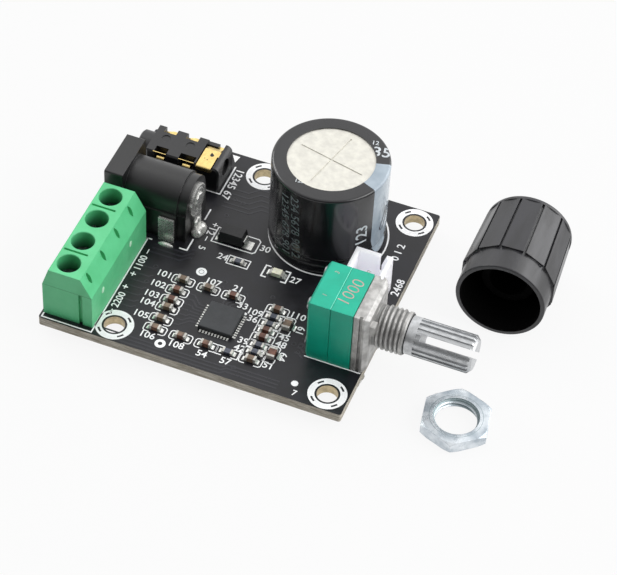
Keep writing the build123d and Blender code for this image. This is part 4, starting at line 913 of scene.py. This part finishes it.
def refine(flat, longest):
    """Cuts the edges longer than this, in millimetres, so that flat marks can bend."""
    edges = [e for e in flat.edges if e.calc_length() > longest * MM]
    bmesh.ops.subdivide_edges(flat, edges=edges, cuts=2)


def bend(bm, flat, turn, z):
    """Wraps flat marks, drawn round the board's centre, on the side of the capacitor."""
    origin = at(0, 0, 0)
    axis = Vector((CAN_X, CAN_Y, BOARD_TOP + z)) * MM
    refine(flat, 0.5)
    for v in flat.verts:
        along, up, out = v.co - origin
        a = math.radians(turn) + along / MM / SLEEVE_OUTSIDE
        radius = SLEEVE_OUTSIDE * MM + out
        v.co = axis + Vector((radius * math.cos(a), radius * math.sin(a), up))
    join(bm, flat)


def drape(bm, flat, node):
    """Lets flat marks down on the top of a CAD node."""
    mesh = nodes[node].data
    tree = BVHTree.FromPolygons([v.co for v in mesh.vertices], [p.vertices for p in mesh.polygons])
    refine(flat, 0.3)
    for v in flat.verts:
        found = tree.ray_cast(v.co + Vector((0, 0, 0.1)), Vector((0, 0, -1)))[0]
        if found:
            v.co.z = found.z + v.co.z - (BOARD_TOP - DRAPE_LIFT) * MM
    join(bm, flat)


grey_print = finish("grey_print", linear(196, 202, 206), 0.5, vary=0.08, patch=1.0, grain=(8, 0.01))
faint_print = finish("faint_print", linear(118, 126, 130), 0.5, vary=0.3, patch=1.0, grain=(8, 0.01))
sleeve_marks, faint_marks = bmesh.new(), bmesh.new()
COLUMN_SIZE, COLUMN_LEAN = 2.15, -86.5
for turn, z, text in ((-116, 8.2, "12345 678 901"), (-104, 8.6, "234 5678 9012")):
    flat = bmesh.new()
    words(flat, text, 0, 0, COLUMN_SIZE, COLUMN_LEAN, 0, PRINT_DEPTH, 0.0)
    bend(faint_marks, flat, turn, z)
flat = bmesh.new()
words(flat, "123", 0, 0, 2.9, 90, 0, PRINT_DEPTH, 0.01)
bend(sleeve_marks, flat, -35.5, 7.5)
RIM_FIGURES = (("35", 15.93, 16.3, 2.9, 12), ("12", 14.3, 17.9, 1.2, 12), ("1234", 6.75, 5.5, 1.0, 8))
for text, x, y, size, turn in RIM_FIGURES:
    flat = bmesh.new()
    words(flat, text, x, y, size, turn, 0, PRINT_DEPTH)
    drape(sleeve_marks, flat, "capacitor_sleeve")
piece("sleeve_figures", sleeve_marks, grey_print)
piece("faint_figures", faint_marks, faint_print)
dark_print = finish("dark_print", linear(52, 54, 68), 0.5, vary=0.08, patch=1.0, grain=(8, 0.01))
stripe_mark, flat = bmesh.new(), bmesh.new()
SLOT_REACH, SLOT_ROUND, SLOT_LEAN = 1.45, 0.62, math.radians(57)
slot = arc(SLOT_REACH, 0, SLOT_ROUND, -90, 90, 8) + arc(-SLOT_REACH, 0, SLOT_ROUND, 90, 270, 8)
slot = [
    (x * math.cos(SLOT_LEAN) - y * math.sin(SLOT_LEAN), x * math.sin(SLOT_LEAN) + y * math.cos(SLOT_LEAN))
    for x, y in slot
]
band(flat, slot, 0.24, 0, PRINT_DEPTH, True)
bend(stripe_mark, flat, -1.5, 7.4)
piece("stripe_mark", stripe_mark, dark_print)
WAFER_TOP = 11.9
pot_print = finish("control_print", linear(186, 158, 150), 0.5, vary=0.15, patch=1.0, grain=(8, 0.01))
pot_figures = bmesh.new()
for text, x, y, size in (("1000", 20.75, -9.05, 2.9), ("3", 17.4, -6.1, 1.1), ("1", 17.3, -11.1, 1.1)):
    words(pot_figures, text, x, y, size, 80, WAFER_TOP, WAFER_TOP + PRINT_DEPTH, -0.012)
piece("control_figures", pot_figures, pot_print)
teal_edge = finish("teal_edge", linear(120, 232, 204), 0.4, vary=0.1, patch=1.0, grain=(9, 0.008))
seam = bmesh.new()
band(seam, [(19.08, -13.45), (19.08, -4.35)], 0.09, WAFER_TOP - 0.02, WAFER_TOP + 0.005)
piece("wafer_seam", seam, teal_edge)


# Small fittings of the sockets, the terminal block and the control
def box(bm, low, high):
    """A block between two corners, in millimetres from the board's centre."""
    plate(bm, rectangle(low[0], low[1], high[0], high[1]), low[2], high[2])


def arched_strip(bm, x0, x1, y0, y1, heights):
    """A thin sprung strip whose height changes along X."""
    rows = []
    for k, z in enumerate(heights):
        x = x0 + (x1 - x0) * k / (len(heights) - 1)
        rows.append([bm.verts.new(at(x, y, z)) for y in (y0, y1)])
    for first, second in zip(rows, rows[1:]):
        bm.faces.new((first[0], second[0], second[1], first[1]))


fittings = bmesh.new()
SPRING_ARCH = (4.1, 4.15, 4.22, 4.32, 4.42, 4.5, 4.54, 4.52, 4.42)
for x0, x1 in ((-21.2, -19.2), (-17.4, -15.4)):
    arched_strip(fittings, x0, x1, 17.85, 18.8, SPRING_ARCH)
for x0, x1 in ((-21.15, -18.95), (-16.75, -14.1)):
    box(fittings, (x0, 12.93, 4.88), (x1, 13.05, 4.99))
piece("socket_springs", fittings, gold, smooth=60)

# Painted shade: dark marks on top of the audio socket standing for a hole and two dimples, and a dark
# ring for the shaded gap between the shaft and the bushing
SOCKET_TOP = 5.0
BUSHING_GAP = ((0.01, 3.13), (0.02, 3.02), (0.15, 3.02))
shade = bmesh.new()
drop = arc(-12.05, 15.78, 0.33, 150, 390, 14) + [(-12.32, 16.35)]
for outline in (drop, circle(-12.9, 14.75, 0.1, 12), circle(-12.4, 14.55, 0.1, 12)):
    plate(shade, outline, SOCKET_TOP, SOCKET_TOP + 0.006)
turned_rim(shade, 0, POT_AXIS, BUSHING_END, BUSHING_GAP)
piece("dark_gaps", shade, hole_shade_paint)

# Two raised rings on the power socket's strap
STRAP_AXIS = (0.0, 24.19, 7.65)
STRAP_FACE = BOARD_X - 9.85
RING_STEP = 0.62
RIM = ((0.0, 2.75), (0.08, 2.62), (0.08, 2.4), (0.0, 2.28))
rings = bmesh.new()
turned_rim(rings, 0, STRAP_AXIS, STRAP_FACE, RIM)
turned_rim(rings, 0, STRAP_AXIS, STRAP_FACE, [(along, radius - RING_STEP) for along, radius in RIM])
piece("strap_rings", rings, tin, smooth=60)

# Two pale pips on the terminal block, and the seam across its front end
pale_green = finish("pale_green", linear(198, 238, 208), 0.4, vary=0.1, patch=1.0, grain=(9, 0.006))
dimples = bmesh.new()
for y, z in ((-6.9, 4.7), (-17.2, 4.5)):
    mound(dimples, -16.2, y, z, 0.08, 0.44, 0.6)
piece("moulding_pips", dimples, pale_green, smooth=60)
dark_green = finish("dark_green", linear(74, 152, 106), 0.45, vary=0.1, patch=1.0, grain=(9, 0.006))
end_seam = bmesh.new()
low, high = solids_of("terminal_housing")[0]
SEAM_HEIGHT, SEAM_HALF, SEAM_INSET = 6.5, 0.035, 0.1
seam_low = (low[0] + SEAM_INSET, low[1] - 0.012, SEAM_HEIGHT - SEAM_HALF)
seam_high = (high[0] - SEAM_INSET, low[1] + 0.01, SEAM_HEIGHT + SEAM_HALF)
box(end_seam, seam_low, seam_high)
piece("end_seam", end_seam, dark_green)

# Camera, as the photograph was taken
LENS, SENSOR = 151.2, 36.0
AZIMUTH, ELEVATION, ROLL, DISTANCE = 18.74, 47.54, 3.5, 402.31
AIM = at(11.01, -0.38)
azimuth, elevation, roll = (math.radians(v) for v in (AZIMUTH, ELEVATION, ROLL))
level = math.cos(elevation)
back = Vector((math.sin(azimuth) * level, -math.cos(azimuth) * level, math.sin(elevation)))
right = Vector((0, 0, 1)).cross(back).normalized()
upward = back.cross(right)
right, upward = (
    math.cos(roll) * right + math.sin(roll) * upward,
    math.cos(roll) * upward - math.sin(roll) * right,
)
camera = bpy.data.objects.new("camera", bpy.data.cameras.new("camera"))
camera.data.lens, camera.data.sensor_width = LENS, SENSOR
camera.data.clip_start, camera.data.clip_end = 0.01, 10.0
turned_frame = Matrix((right, upward, back)).transposed().to_4x4()
camera.matrix_world = Matrix.Translation(AIM + back * DISTANCE * MM) @ turned_frame
bpy.context.scene.collection.objects.link(camera)
bpy.context.scene.camera = camera


# Floor, world and lamps
WHITE = (1.0, 1.0, 1.0, 1.0)
FLOOR_GLOW = 0.9


def floor_paint():
    """Nearly white to the camera and in mirror images, and grey in what it throws on the object."""
    paint = Paint("pale_floor")
    paint.set(Base_Color=(0.55, 0.55, 0.55, 1.0), Roughness=0.9)
    glow = paint.node("Emission", {"Color": WHITE, "Strength": 1.0})
    rays = paint.node("LightPath").outputs
    seen = paint.math("MAXIMUM", rays["Is Camera Ray"], rays["Is Glossy Ray"])
    share = paint.math("MULTIPLY", seen, FLOOR_GLOW)
    both = paint.node("MixShader", {0: share, 1: paint.shader.outputs[0], 2: glow.outputs[0]})
    paint.tree.links.new(both.outputs[0], paint.out.inputs[0])
    return paint


bpy.ops.mesh.primitive_plane_add(size=4.0, location=(0.02, 0.02, FLOOR_Z * MM))
ground = bpy.context.object
ground.name = "pale_floor"
ground.data.materials.append(floor_paint().material)
ground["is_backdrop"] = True

# A sky that is brightest behind the object and dim in front of it and below
SKY_BRIGHT_SIDE = Vector((-0.25, 0.62, 0.75)).normalized()
SKY_RANGE = {"From Min": -0.3, "To Min": 0.05, "To Max": 1.2}
world = bpy.data.worlds.new("studio")
bpy.context.scene.world = world
world.use_nodes = True
sky = world.node_tree
facing = sky.nodes.new("ShaderNodeVectorMath")
facing.operation = "DOT_PRODUCT"
facing.inputs[1].default_value = SKY_BRIGHT_SIDE
brightness = sky.nodes.new("ShaderNodeMapRange")
for socket, value in SKY_RANGE.items():
    brightness.inputs[socket].default_value = value
sky.links.new(sky.nodes.new("ShaderNodeTexCoord").outputs["Generated"], facing.inputs[0])
sky.links.new(facing.outputs["Value"], brightness.inputs["Value"])
sky.links.new(brightness.outputs[0], sky.nodes["Background"].inputs[1])
sky.nodes["Background"].inputs[0].default_value = WHITE


LAMP_AIM = Vector((0.02, 0.018, 0.005))


def lamp(name, place, size, watts):
    """A rectangular lamp that faces the object."""
    light = bpy.data.lights.new(name, "AREA")
    light.shape, light.size, light.size_y, light.energy = "RECTANGLE", size[0], size[1], watts
    holder = bpy.data.objects.new(name, light)
    holder.location = place
    holder.rotation_euler = (LAMP_AIM - Vector(place)).to_track_quat("-Z", "Y").to_euler()
    bpy.context.scene.collection.objects.link(holder)


lamp("key", (-0.40, 0.22, 0.42), (0.25, 0.25), 0.85)
lamp("fill", (0.45, -0.04, 0.35), (0.30, 0.40), 1.1)
lamp("side", (0.52, 0.36, 0.30), (0.90, 0.60), 3.3)

bpy.context.scene.view_settings.view_transform = "Standard"
low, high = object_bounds()
